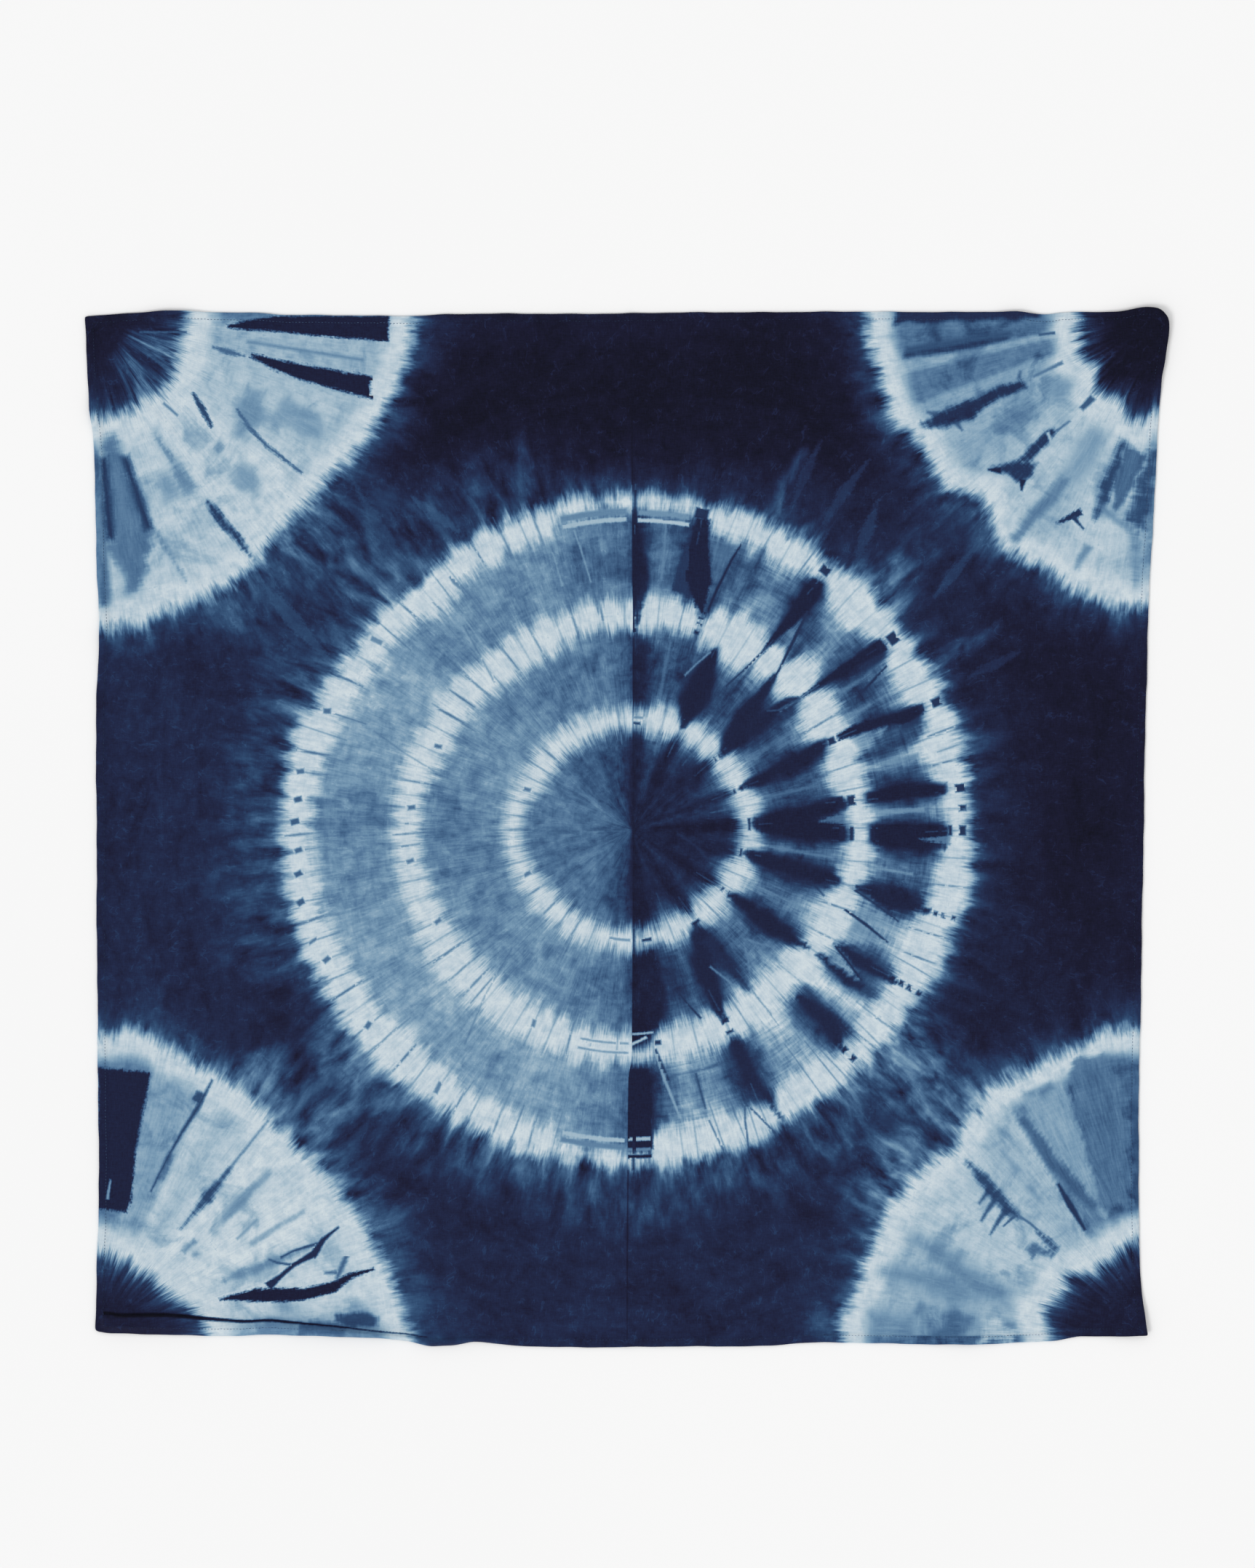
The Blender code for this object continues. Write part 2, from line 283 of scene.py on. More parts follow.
OUTER_RING_RIGHT = table_of(
    BandPoint,
    (-91, 277, 286, 2, 4), (-86.4, 277, 286, 2, 4), (-86.1, 257, 286, 6, 6), (-84, 258, 287, 14, 8),
    (-82, 256, 286, 20, 8), (-80, 254, 284, 30, 8), (-77, 255, 288, 34, 8), (-75.4, 256, 286, 14, 8),
    (-74.8, 255, 284, 34, 8), (-72.5, 254, 286, 36, 8), (-70.3, 260, 286, 20, 8), (-69, 259, 286, 10, 6),
    (-67, 257, 282, 6, 6), (-64, 262, 283, 3, 6), (-62.6, 262, 279, 2, 4), (-61.6, 260, 281, 8, 8),
    (-60, 252, 281, 22, 10), (-58.5, 250, 280, 36, 18), (-54, 248, 280, 46, 20), (-50.5, 251, 281, 30, 18),
    (-49, 257, 281, 14, 12), (-47.3, 261, 280, 4, 8), (-46, 256, 280, 2, 8), (-44, 258, 280, 3, 10),
    (-42.3, 260, 279, 4, 14), (-41.3, 254, 281, 30, 18), (-39, 249, 282, 50, 20), (-36.8, 250, 281, 36, 18),
    (-35.6, 255, 280, 6, 12), (-33.6, 256, 280, 4, 10), (-31, 257, 282, 8, 8), (-29.6, 254, 282, 2, 5),
    (-28.6, 256, 284, 5, 6), (-27.3, 252, 285, 12, 8), (-25, 246, 287, 20, 9), (-22, 244, 286, 30, 9),
    (-19, 248, 285, 26, 8), (-17.4, 253, 284, 6, 7), (-15.6, 257, 285, 2, 5), (-14, 262, 289, 4, 6),
    (-12, 261, 290, 8, 7), (-9, 260, 288.5, 22, 7), (-6, 262, 288.5, 12, 7), (-4.2, 265, 288.5, 4, 7),
    (-2.4, 261, 287.5, 8, 7), (-1.1, 268, 285.5, 2, 4), (0.8, 269, 285.5, 2, 4), (1.4, 268, 286.5, 8, 6),
    (4, 265, 286.5, 22, 6), (6.3, 268, 285.5, 6, 5), (6.8, 268, 285.5, 2, 4), (8.2, 267, 287.5, 2, 5),
    (9.2, 262, 290.5, 6, 8), (11, 259, 291.5, 10, 9), (13, 253, 290.5, 18, 9), (14.7, 250, 289.5, 24, 9),
    (16.5, 251, 289.5, 14, 8), (18.5, 263, 289.5, 8, 8), (20.5, 269, 288.5, 4, 7), (21.8, 268, 286.5, 2, 5),
    (23.6, 266, 285.5, 2, 5), (24.4, 259, 287.5, 10, 7), (26, 254, 291.5, 20, 8), (28, 254, 291.5, 22, 8),
    (30, 258, 288.5, 12, 7), (32.5, 258, 284.5, 16, 6), (34.2, 266, 283.5, 6, 5), (35.2, 268, 283.5, 2, 3),
    (37.5, 268, 283.5, 2, 3), (38.2, 263, 284.5, 6, 6), (39.5, 260, 286.5, 12, 9), (42, 254, 287.5, 28, 18),
    (45, 253, 288.5, 32, 19), (48, 252, 287.5, 28, 17), (50, 260, 285.5, 12, 9), (51.3, 265, 283.5, 4, 5),
    (52.2, 265, 282.5, 2, 3), (54.6, 265, 282.5, 2, 3), (55.4, 266, 282.5, 6, 5), (56.2, 264, 284.5, 12, 8),
    (58, 258, 285.5, 18, 9), (61, 256, 285.5, 20, 9), (63.5, 259, 285.5, 16, 8), (64.7, 268, 284.5, 6, 6),
    (65.4, 265, 285.5, 8, 7), (67, 259, 285.5, 14, 7), (68.3, 264, 285.5, 8, 6), (69.2, 262, 285.5, 14, 6),
    (72, 261, 285.5, 18, 6), (74.6, 263, 285.5, 12, 6), (76, 270, 283.5, 2, 4), (77.2, 270, 282.5, 2, 3),
    (78.6, 272, 283.5, 2, 3), (79.2, 275, 283.5, 4, 4), (92, 275, 283.5, 4, 4),
)
OUTER_RING_LEFT = table_of(
    BandPoint,
    (88, 273, 286), (103, 273, 286), (104, 263, 285), (112, 257, 284), (124, 256, 282), (128, 248, 275),
    (131, 243, 271), (134, 250, 276), (138, 257, 281), (144, 259, 280), (150, 258, 284), (155, 262, 288),
    (162, 266, 296), (169, 269, 301), (175, 272, 298), (190, 272, 298), (202, 269, 297), (210, 265, 295),
    (225, 258, 292), (233, 262, 287), (245, 261, 290), (255, 262, 289), (257, 272, 285), (272, 273, 285),
)
MIDDLE_RING_RIGHT = table_of(
    BandPoint,
    (-91, 188, 197, 2, 3), (-85.7, 188, 197, 2, 3), (-84.6, 180, 196, 3, 5), (-82.4, 174, 196, 2, 6),
    (-80.5, 172, 197, 4, 10), (-78, 168, 198, 12, 12), (-75, 169, 199, 10, 12), (-73, 170, 199, 8, 12),
    (-71, 172, 199, 12, 12), (-68.5, 172, 198, 16, 10), (-66, 171, 199, 8, 5), (-65, 174, 195, 2, 2),
    (-63.4, 174, 195, 2, 2), (-62, 170, 200, 5, 6), (-60.3, 168, 197, 12, 8), (-58, 167, 198, 14, 12),
    (-56, 166, 201, 10, 20), (-54, 170, 200, 3, 20), (-52, 167, 201, 14, 18), (-49.5, 164, 195, 22, 10),
    (-46.5, 165, 196, 24, 4), (-45.2, 168, 194, 14, 4), (-43.5, 166, 197, 22, 4), (-41.5, 166, 200, 22, 12),
    (-39, 168, 204, 12, 26), (-37, 170, 204, 4, 24), (-35, 174, 197, 2, 5), (-33.6, 175, 197, 2, 3),
    (-32, 173, 199, 4, 10), (-30.4, 171, 201, 10, 4), (-29, 170, 198, 16, 3), (-27, 170, 202, 20, 10),
    (-24.5, 169, 205, 26, 26), (-22, 170, 204, 20, 18), (-20.6, 172, 194, 14, 10),
    (-19.5, 173, 200, 12, 24), (-18, 176, 203, 6, 14), (-16, 179, 198, 3, 5), (-14.2, 180, 198, 2, 3),
    (-12.8, 180, 202, 2, 5), (-11, 182, 203, 6, 9), (-9, 184, 204, 12, 18), (-7, 184, 204, 14, 12),
    (-4.5, 182, 206, 8, 7), (-3, 182, 202, 2, 3), (0.8, 182, 202, 2, 2), (1.2, 183, 203, 2, 4),
    (2.8, 182, 204, 10, 9), (4.4, 182, 205, 6, 14), (5.8, 183, 203, 2, 6), (6.5, 182, 201, 2, 2),
    (8.8, 182, 201, 2, 2), (9.6, 179, 203, 4, 6), (11, 175, 203, 9, 9), (12.5, 176, 204, 10, 12),
    (14.3, 175, 206, 12, 14), (16, 172, 204, 12, 12), (17.4, 170, 201, 10, 8), (19, 174, 206, 8, 20),
    (21, 179, 208, 5, 24), (22.6, 181, 207, 3, 14), (23.3, 179, 201, 2, 2), (25, 178, 200, 2, 2),
    (25.6, 173, 203, 6, 8), (27.5, 168, 207, 14, 16), (29.3, 168, 200, 16, 10), (31, 167, 206, 16, 10),
    (34, 172, 206, 12, 12), (36, 178, 203, 6, 8), (37.6, 180, 193, 3, 3), (38.4, 178, 199, 8, 4),
    (40, 172, 206, 8, 8), (43, 170, 209, 10, 16), (46, 173, 207, 9, 8), (47.4, 178, 192, 4, 2),
    (48.2, 174, 196, 14, 5), (50, 169, 200, 22, 16), (51.4, 169, 203, 22, 16), (53, 170, 196, 16, 4),
    (53.8, 173, 189, 5, 2), (54.6, 171, 198, 12, 10), (56, 165, 204, 18, 20), (58.5, 159, 205, 18, 24),
    (61, 161, 205, 14, 24), (63.5, 167, 204, 6, 20), (65.2, 172, 202, 3, 16), (67, 170, 202, 10, 14),
    (69.5, 170, 197, 16, 5), (70.8, 173, 191, 8, 2), (71.6, 177, 190, 2, 2), (72.4, 176, 191, 2, 2),
    (73.2, 176, 194, 3, 4), (74.5, 174, 198, 5, 6), (80, 173, 199, 8, 8), (86, 170, 198, 5, 6),
    (92, 170, 196, 4, 3),
)
MIDDLE_RING_LEFT = table_of(
    BandPoint,
    (88, 171, 196), (105, 172, 195), (112, 165, 193), (125, 162, 193), (140, 168, 195), (150, 172, 195),
    (160, 171, 200), (165, 177, 203), (175, 181, 203), (195, 181, 203), (202, 177, 203), (215, 172, 205),
    (230, 170, 201), (250, 170, 200), (255, 173, 200), (272, 173, 200),
)
INNER_RING_RIGHT = table_of(
    BandPoint,
    (-91, 85.5, 99.5, 3, 2), (-86, 87.5, 100.5, 3, 3), (-85.4, 88.5, 99.5, 3, 2), (-80, 86.5, 98.5, 4, 3),
    (-76, 84.5, 99.5, 6, 9), (-69, 80.5, 102.5, 8, 16), (-62, 82.5, 100.5, 7, 9), (-58, 85.5, 98.5, 4, 4),
    (-57, 87.5, 98.5, 2, 2), (-53.6, 87.5, 98.5, 2, 2), (-52, 84.5, 100.5, 5, 8), (-45, 81.5, 105.5, 8, 15),
    (-38, 83.5, 103.5, 6, 9), (-35, 86.5, 99.5, 3, 4), (-33.2, 87.5, 98.5, 2, 2), (-31, 87.5, 102.5, 4, 7),
    (-25, 84.5, 108.5, 8, 12), (-19, 85.5, 108.5, 8, 9), (-15, 91.5, 106.5, 4, 4),
    (-13.4, 91.5, 100.5, 2, 2), (-9.9, 92.5, 100.5, 2, 2), (-9, 93.5, 106.5, 3, 6),
    (-6, 93.5, 109.5, 6, 10), (-2, 94.5, 108.5, 5, 5), (-0.4, 94.5, 106.5, 2, 2), (5.8, 93.5, 106.5, 2, 2),
    (7, 93.5, 107.5, 4, 5), (10, 91.5, 109.5, 9, 10), (14, 91.5, 110.5, 10, 12), (18, 91.5, 108.5, 7, 6),
    (19.5, 91.5, 104.5, 2, 2), (21.9, 91.5, 104.5, 2, 2), (23, 90.5, 106.5, 6, 7),
    (27, 88.5, 109.5, 10, 10), (33, 87.5, 108.5, 9, 9), (37, 88.5, 105.5, 6, 5), (39.4, 90.5, 101.5, 2, 2),
    (41.6, 90.5, 101.5, 2, 2), (43, 89.5, 104.5, 4, 6), (46, 89.5, 106.5, 5, 11), (54, 87.5, 107.5, 9, 12),
    (60, 87.5, 106.5, 7, 10), (62.6, 88.5, 104.5, 5, 4), (64.2, 90.5, 99.5, 2, 2),
    (65.4, 88.5, 101.5, 4, 3), (68, 85.5, 105.5, 7, 6), (73, 82.5, 107.5, 12, 8), (78, 82.5, 106.5, 12, 7),
    (83, 85.5, 102.5, 6, 5), (86, 87.5, 100.5, 3, 3), (92, 87.5, 100.5, 3, 3),
)
INNER_RING_LEFT = table_of(
    BandPoint,
    (88, 84, 104), (155, 84, 105), (170, 94, 110), (190, 95, 110), (205, 88, 107), (220, 85, 105),
    (272, 85, 103),
)
OUTER_NOTCHES_RIGHT = (
    -91, -86.3, -81, -78.3, -74, -70, -67.5, -65.3, -62.5, -59.3, -54.5, -50.8, -49.3, -46.2, -42, -40.8,
    -37.5, -34, -29.6, -26, -24, -19.2, -17.5, -15.4, -10, -5, -0.1, 3.8, 7.2, 12.3, 17.2, 22.7, 27, 31.5,
    36.4, 42, 47, 53.2, 57, 61, 65, 68.7, 72, 77.4, 83, 89.5, 96,
)
OUTER_NOTCHES_LEFT = (
    86, 95, 104.5, 107.5, 110, 113.8, 119.2, 125, 128, 131, 135.6, 140.8, 143.5, 147.5, 152.2, 158.7, 162.5,
    166.4, 170, 174.8, 178.6, 183.5, 187.5, 192.3, 195.7, 199.2, 203, 206.5, 209.4, 213, 216.5, 220.2, 225,
    229, 233, 237.5, 240.4, 245.2, 248.6, 251.7, 256, 262, 269, 276,
)
MIDDLE_NOTCHES_RIGHT = (
    -91, -84.5, -79, -73, -64.2, -59.5, -53.2, -47.9, -42.2, -33.6, -28.7, -20.5, -14.3, -8, -2.8, 0.5, 7.6,
    10.5, 16.5, 24.1, 29.5, 38.2, 47.4, 53.7, 59, 65, 72, 77, 83, 89, 96,
)
MIDDLE_NOTCHES_LEFT = (
    86, 92, 98, 105.6, 110, 117, 121, 125.5, 132, 137, 142.3, 147.8, 152.5, 158.5, 163.5, 167.5, 171, 174.2,
    178.4, 184, 188, 193, 198, 205.2, 209.5, 213.6, 219.3, 224.2, 229.3, 235, 239, 243, 248, 253.3, 259,
    266, 276,
)
INNER_NOTCHES_RIGHT = (
    -91, -85.3, -79.5, -69, -55.3, -45, -33.2, -23, -11.5, -5, 2.6, 12, 20.9, 31, 40.9, 52, 64.4, 74, 84,
    96,
)
INNER_NOTCHES_LEFT = (
    86, 97, 104, 112, 121, 129, 137.5, 146, 153, 159, 166, 173, 180, 188, 196, 202.8, 212, 223.3, 232, 240,
    249, 258, 276,
)
OUTER_ZONE_RIGHT = table_of(
    Tone,
    (-91, 0.02), (-86, 0.02), (-84.5, 0.14), (-82, 0.26), (-78, 0.34), (-75.5, 0.3), (-72.5, 0.36),
    (-69.5, 0.22), (-67, 0.1), (-63, 0.1), (-60, 0.24), (-57, 0.35), (-53, 0.37), (-50, 0.28), (-48, 0.13),
    (-45, 0.04), (-42.5, 0.08), (-41, 0.28), (-38.5, 0.39), (-36, 0.15), (-34, 0.092), (-32, 0.2),
    (-30, 0.05), (-28, 0.15), (-25, 0.31), (-21, 0.33), (-18, 0.2), (-16, 0.06), (-12.5, 0.07), (-11, 0.13),
    (-9, 0.21), (-6.5, 0.16), (-4.6, 0.08), (-3.6, 0.01), (1, 0.01), (2, 0.15), (4, 0.27), (6, 0.15),
    (6.8, 0.02), (9, 0.03), (11, 0.1), (14.6, 0.24), (18, 0.13), (20.4, 0.16), (22, 0.03), (24, 0.05),
    (26, 0.21), (29.5, 0.19), (31, 0.13), (33.5, 0.18), (35.3, 0.05), (37.4, 0.04), (38.6, 0.18),
    (42, 0.25), (46, 0.24), (49.5, 0.13), (51.4, 0.06), (54, 0.05), (55.5, 0.18), (60, 0.22), (66, 0.22),
    (68.6, 0.24), (70, 0.16), (72.3, 0.26), (74, 0.12), (78, 0.03), (79.5, 0.2), (81.5, 0.3), (83.7, 0.4),
    (86, 0.28), (87.5, 0.12), (89, 0.03), (92, 0.02),
)
OUTER_ZONE_LEFT = table_of(
    Tone,
    (88, 0.44), (96, 0.48), (101, 0.38), (107, 0.52), (112, 0.56), (117, 0.46), (121, 0.56), (126, 0.46),
    (131, 0.56), (137, 0.48), (143, 0.58), (150, 0.64), (158, 0.62), (166, 0.56), (178, 0.46), (188, 0.52),
    (200, 0.56), (212, 0.59), (230, 0.59), (245, 0.64), (255, 0.58), (262, 0.5), (272, 0.42),
)
MIDDLE_ZONE_RIGHT = table_of(
    Tone,
    (-91, 0.01), (-79.5, 0.02), (-77, 0.086), (-73.5, 0.08), (-69.5, 0.14), (-66, 0.08), (-63, 0.03),
    (-59, 0.086), (-56, 0.08), (-53, 0.05), (-50, 0.14), (-45, 0.22), (-41, 0.17), (-38, 0.086),
    (-35.5, 0.04), (-32, 0.05), (-29.5, 0.15), (-25, 0.29), (-21, 0.19), (-17, 0.08), (-14.5, 0.02),
    (-11.3, 0.04), (-9.5, 0.12), (-7, 0.25), (-4.5, 0.12), (-2.5, 0.02), (6.5, 0.01), (8.5, 0.095),
    (13.8, 0.23), (17.5, 0.12), (19.8, 0.05), (23.4, 0.03), (25.5, 0.12), (30, 0.23), (33.5, 0.2),
    (37, 0.095), (40, 0.04), (46, 0.03), (48, 0.14), (51, 0.21), (54, 0.12), (58, 0.08), (62, 0.03),
    (68, 0.04), (71, 0.12), (75, 0.22), (80, 0.24), (83.5, 0.14), (86, 0.04), (92, 0.02),
)
MIDDLE_ZONE_LEFT = table_of(
    Tone,
    (88, 0.38), (100, 0.42), (110, 0.46), (120, 0.44), (130, 0.5), (140, 0.5), (150, 0.54), (160, 0.5),
    (170, 0.46), (180, 0.44), (190, 0.46), (205, 0.5), (220, 0.54), (235, 0.54), (250, 0.5), (262, 0.44),
    (272, 0.38),
)
DISC_RIGHT = table_of(
    Tone,
    (-91, 0), (-80, 0.01), (-72, 0.05), (-66, 0.05), (-58, 0.01), (-46, 0.07), (-35, 0.01), (-24, 0.05),
    (-12, 0.03), (-4, 0.05), (0, 0), (5, 0), (12, 0.1), (17, 0.1), (21, 0.02), (28, 0.09), (36, 0.06),
    (44, 0.03), (54, 0.08), (62, 0.03), (68, 0.03), (76, 0.12), (83, 0.04), (92, 0.02),
)
DISC_LEFT = table_of(
    Tone,
    (88, 0.24), (105, 0.26), (120, 0.32), (150, 0.4), (180, 0.38), (210, 0.42), (240, 0.36), (258, 0.3),
    (272, 0.24),
)
CROSSINGS = table_of(
    Crossing,
    (-46, 2.8, ((270.5, 2.4), (260.5, 2.4), (251, 2.5))),
    (-29.7, 2.4, ((281, 2.2), (272, 2.4), (264, 2.2), (255, 2.6))),
    (-15.4, 1.9, ((284, 1.8), (275, 2), (268, 1.6), (260, 1.8))),
    (-0.1, 4.2, ((281.5, 2.8), (271, 1.4), (263, 2.2))), (3.8, 2.4, ((282, 3),)),
    (7.3, 3.4, ((281.5, 4.2), (266.5, 1.6))), (22.8, 3.6, ((281, 4), (267, 2.6))),
    (36.3, 4.8, ((275.5, 4.2), (263, 3))), (53.4, 4.2, ((275.5, 3.6), (261, 2.6))),
    (77.6, 5.6, ((276, 4.4), (262.5, 2))), (-64.2, 3, ((191, 1.2), (181, 1.8), (172, 2))),
    (-33.6, 1.8, ((198, 1.2), (177.5, 1.4))), (-14.2, 1.4, ((198, 1.6),)),
    (-1, 6, ((205, 1.4), (187, 2), (179.5, 2))), (7.7, 4.2, ((188.5, 3.2), (179, 2.2))),
    (24.1, 2.9, ((186, 3), (175, 2.4))), (72, 2.2, ((195, 1), (189.5, 1), (184.5, 1), (177, 1.6))),
    (-83.2, 2.8, ((182.5, 1.8),)), (-55.5, 3.6, ((95.5, 1.1),)), (-33.3, 1.8, ((98.5, 0.9), (92, 0.9))),
    (-11.7, 3.3, ((103.5, 1.8), (94.5, 0.8))), (2.7, 5, ((107, 1.4), (99.8, 0.9))),
    (20.8, 1.9, ((105, 0.9), (99.8, 0.9), (93, 0.9))), (40.5, 1.9, ((102, 0.9), (97.3, 0.8), (92.5, 0.8))),
    (64.2, 0.8, ((101, 2.5),)), (88, 3.4, ((91, 1),)), (-82.5, 4, ((94.5, 1.3),)),
)
RING_BLOCKS = table_of(
    Trail,
    (0.02, 1.5, ((-88.4, 272, 10), (-88.3, 204, 7.5))),
    (0.05, 4, ((-62.7, 280, 0.8), (-63.2, 255, 2.5), (-64.5, 230, 6.5), (-64.6, 200, 4)), 0.9),
    (0.05, 4, ((-46, 262, 1), (-44.8, 235, 6.5), (-44.5, 214, 4.5), (-45, 198, 1))),
    (0.06, 3.5, ((-34.8, 238, 1.5), (-34.8, 222, 4), (-34.2, 204, 2.5), (-34, 188, 1)), 0.9),
    (0.66, 2.2, ((-33.4, 231, 0.5), (-32, 203, 6)), 0.95),
    (0.05, 3.5, ((-29.8, 262, 1.5), (-30.2, 240, 3.5), (-30.1, 222, 4.5), (-29.4, 198, 1))),
    (0.62, 2.2, ((-24.2, 234, 0.5), (-24.6, 204, 14)), 0.8),
    (0.64, 2.2, ((-20.6, 242, 4), (-18.6, 206, 8)), 0.75),
    (0.04, 4, ((-15.4, 262, 2), (-15.3, 240, 5), (-15, 222, 6.5), (-14.2, 198, 1.2))),
    (0.02, 2.2, ((-1.6, 268, 9.5), (-1.2, 202, 7))), (0.5, 1.5, ((-1.9, 271, 4), (-1.9, 245, 0.4)), 0.8),
    (0.02, 2.2, ((7.5, 270, 4), (8, 235, 5), (7.8, 200, 4))),
    (0.6, 2.2, ((22.2, 234, 1), (21.3, 222, 4), (20.4, 205, 9)), 0.75),
    (0.03, 1.6, ((22.7, 266, 4), (22.3, 250, 4.5), (23.5, 235, 3.2), (24.1, 210, 4), (24.2, 192, 2.6))),
    (0.12, 2.5, ((21.4, 262, 3), (20.3, 244, 4)), 0.8),
    (0.03, 1.6, ((36.5, 266, 5.3), (36.9, 250, 4.2), (37.4, 225, 3.6), (37.8, 204, 1.8), (38, 184, 0.8))),
    (0.1, 2.5, ((35, 262, 3), (34.6, 238, 3)), 0.8),
    (0.03, 3, ((47.4, 182, 0.6), (46.4, 160, 5), (44.4, 134, 10), (42.6, 114, 7), (41.4, 103, 2))),
    (0.03, 1.6, ((53.2, 265, 5.2), (52.9, 250, 7.5), (52.9, 225, 4.8), (53.3, 208, 2.5), (53.8, 188, 0.8))),
    (0.5, 2, ((51.2, 232, 0.5), (50.7, 204, 7)), 0.75),
    (0.03, 3, ((65.2, 172, 0.5), (64.9, 150, 8), (64.5, 124, 13), (64.2, 112, 8), (64.2, 96, 1))),
    (0.03, 1.8, ((77.2, 272, 5.5), (77, 262, 6), (76.6, 240, 9.5), (75.2, 222, 11), (73.5, 204, 5),
        (72, 194, 1))),
    (0.13, 1.7, ((78.8, 246, 1), (79, 225, 5), (78.8, 206, 7))),
    (0.02, 2.5, ((89.6, 262, 1), (88.6, 235, 5.5), (88, 206, 7), (88.6, 188, 2.5), (88.8, 176, 1.5))),
    (0.36, 2, ((72, 257, 9), (72.3, 238, 5), (72.6, 221, 0.5)), 0.8),
    (0.03, 4, ((-14.2, 182, 3), (-13.8, 150, 5), (-12.2, 108, 5.5), (-11.8, 97, 0.8))),
    (0.02, 4, ((-1.3, 184, 6), (-0.4, 165, 6), (1.5, 140, 10), (2.8, 110, 7.5), (3, 103, 3))),
    (0.02, 4, ((7.3, 184, 4), (6.4, 160, 6), (4.8, 140, 6), (3.6, 109, 4))),
    (0.45, 1.8, ((3.2, 181, 4.5), (2.6, 160, 0.5)), 0.8),
    (0.03, 4, ((24.1, 184, 3.5), (23.2, 155, 5), (21, 108, 3.5), (20.8, 98, 1))),
    (0.03, 5, ((-33.8, 180, 1.2), (-34.4, 150, 5.5), (-34.2, 128, 5.5), (-33.5, 108, 4), (-33.3, 98, 0.8))),
    (0.04, 6, ((-64.2, 180, 2.5), (-63.6, 150, 7), (-61, 124, 10), (-58, 108, 6), (-55.8, 96, 1.5))),
    (0.08, 6, ((-53.6, 164, 0.5), (-54.6, 140, 4), (-56, 112, 6))),
    (0.04, 5, ((38.4, 186, 0.6), (39.6, 165, 3), (41.2, 140, 8), (41, 108, 4), (40.6, 97, 1))),
)
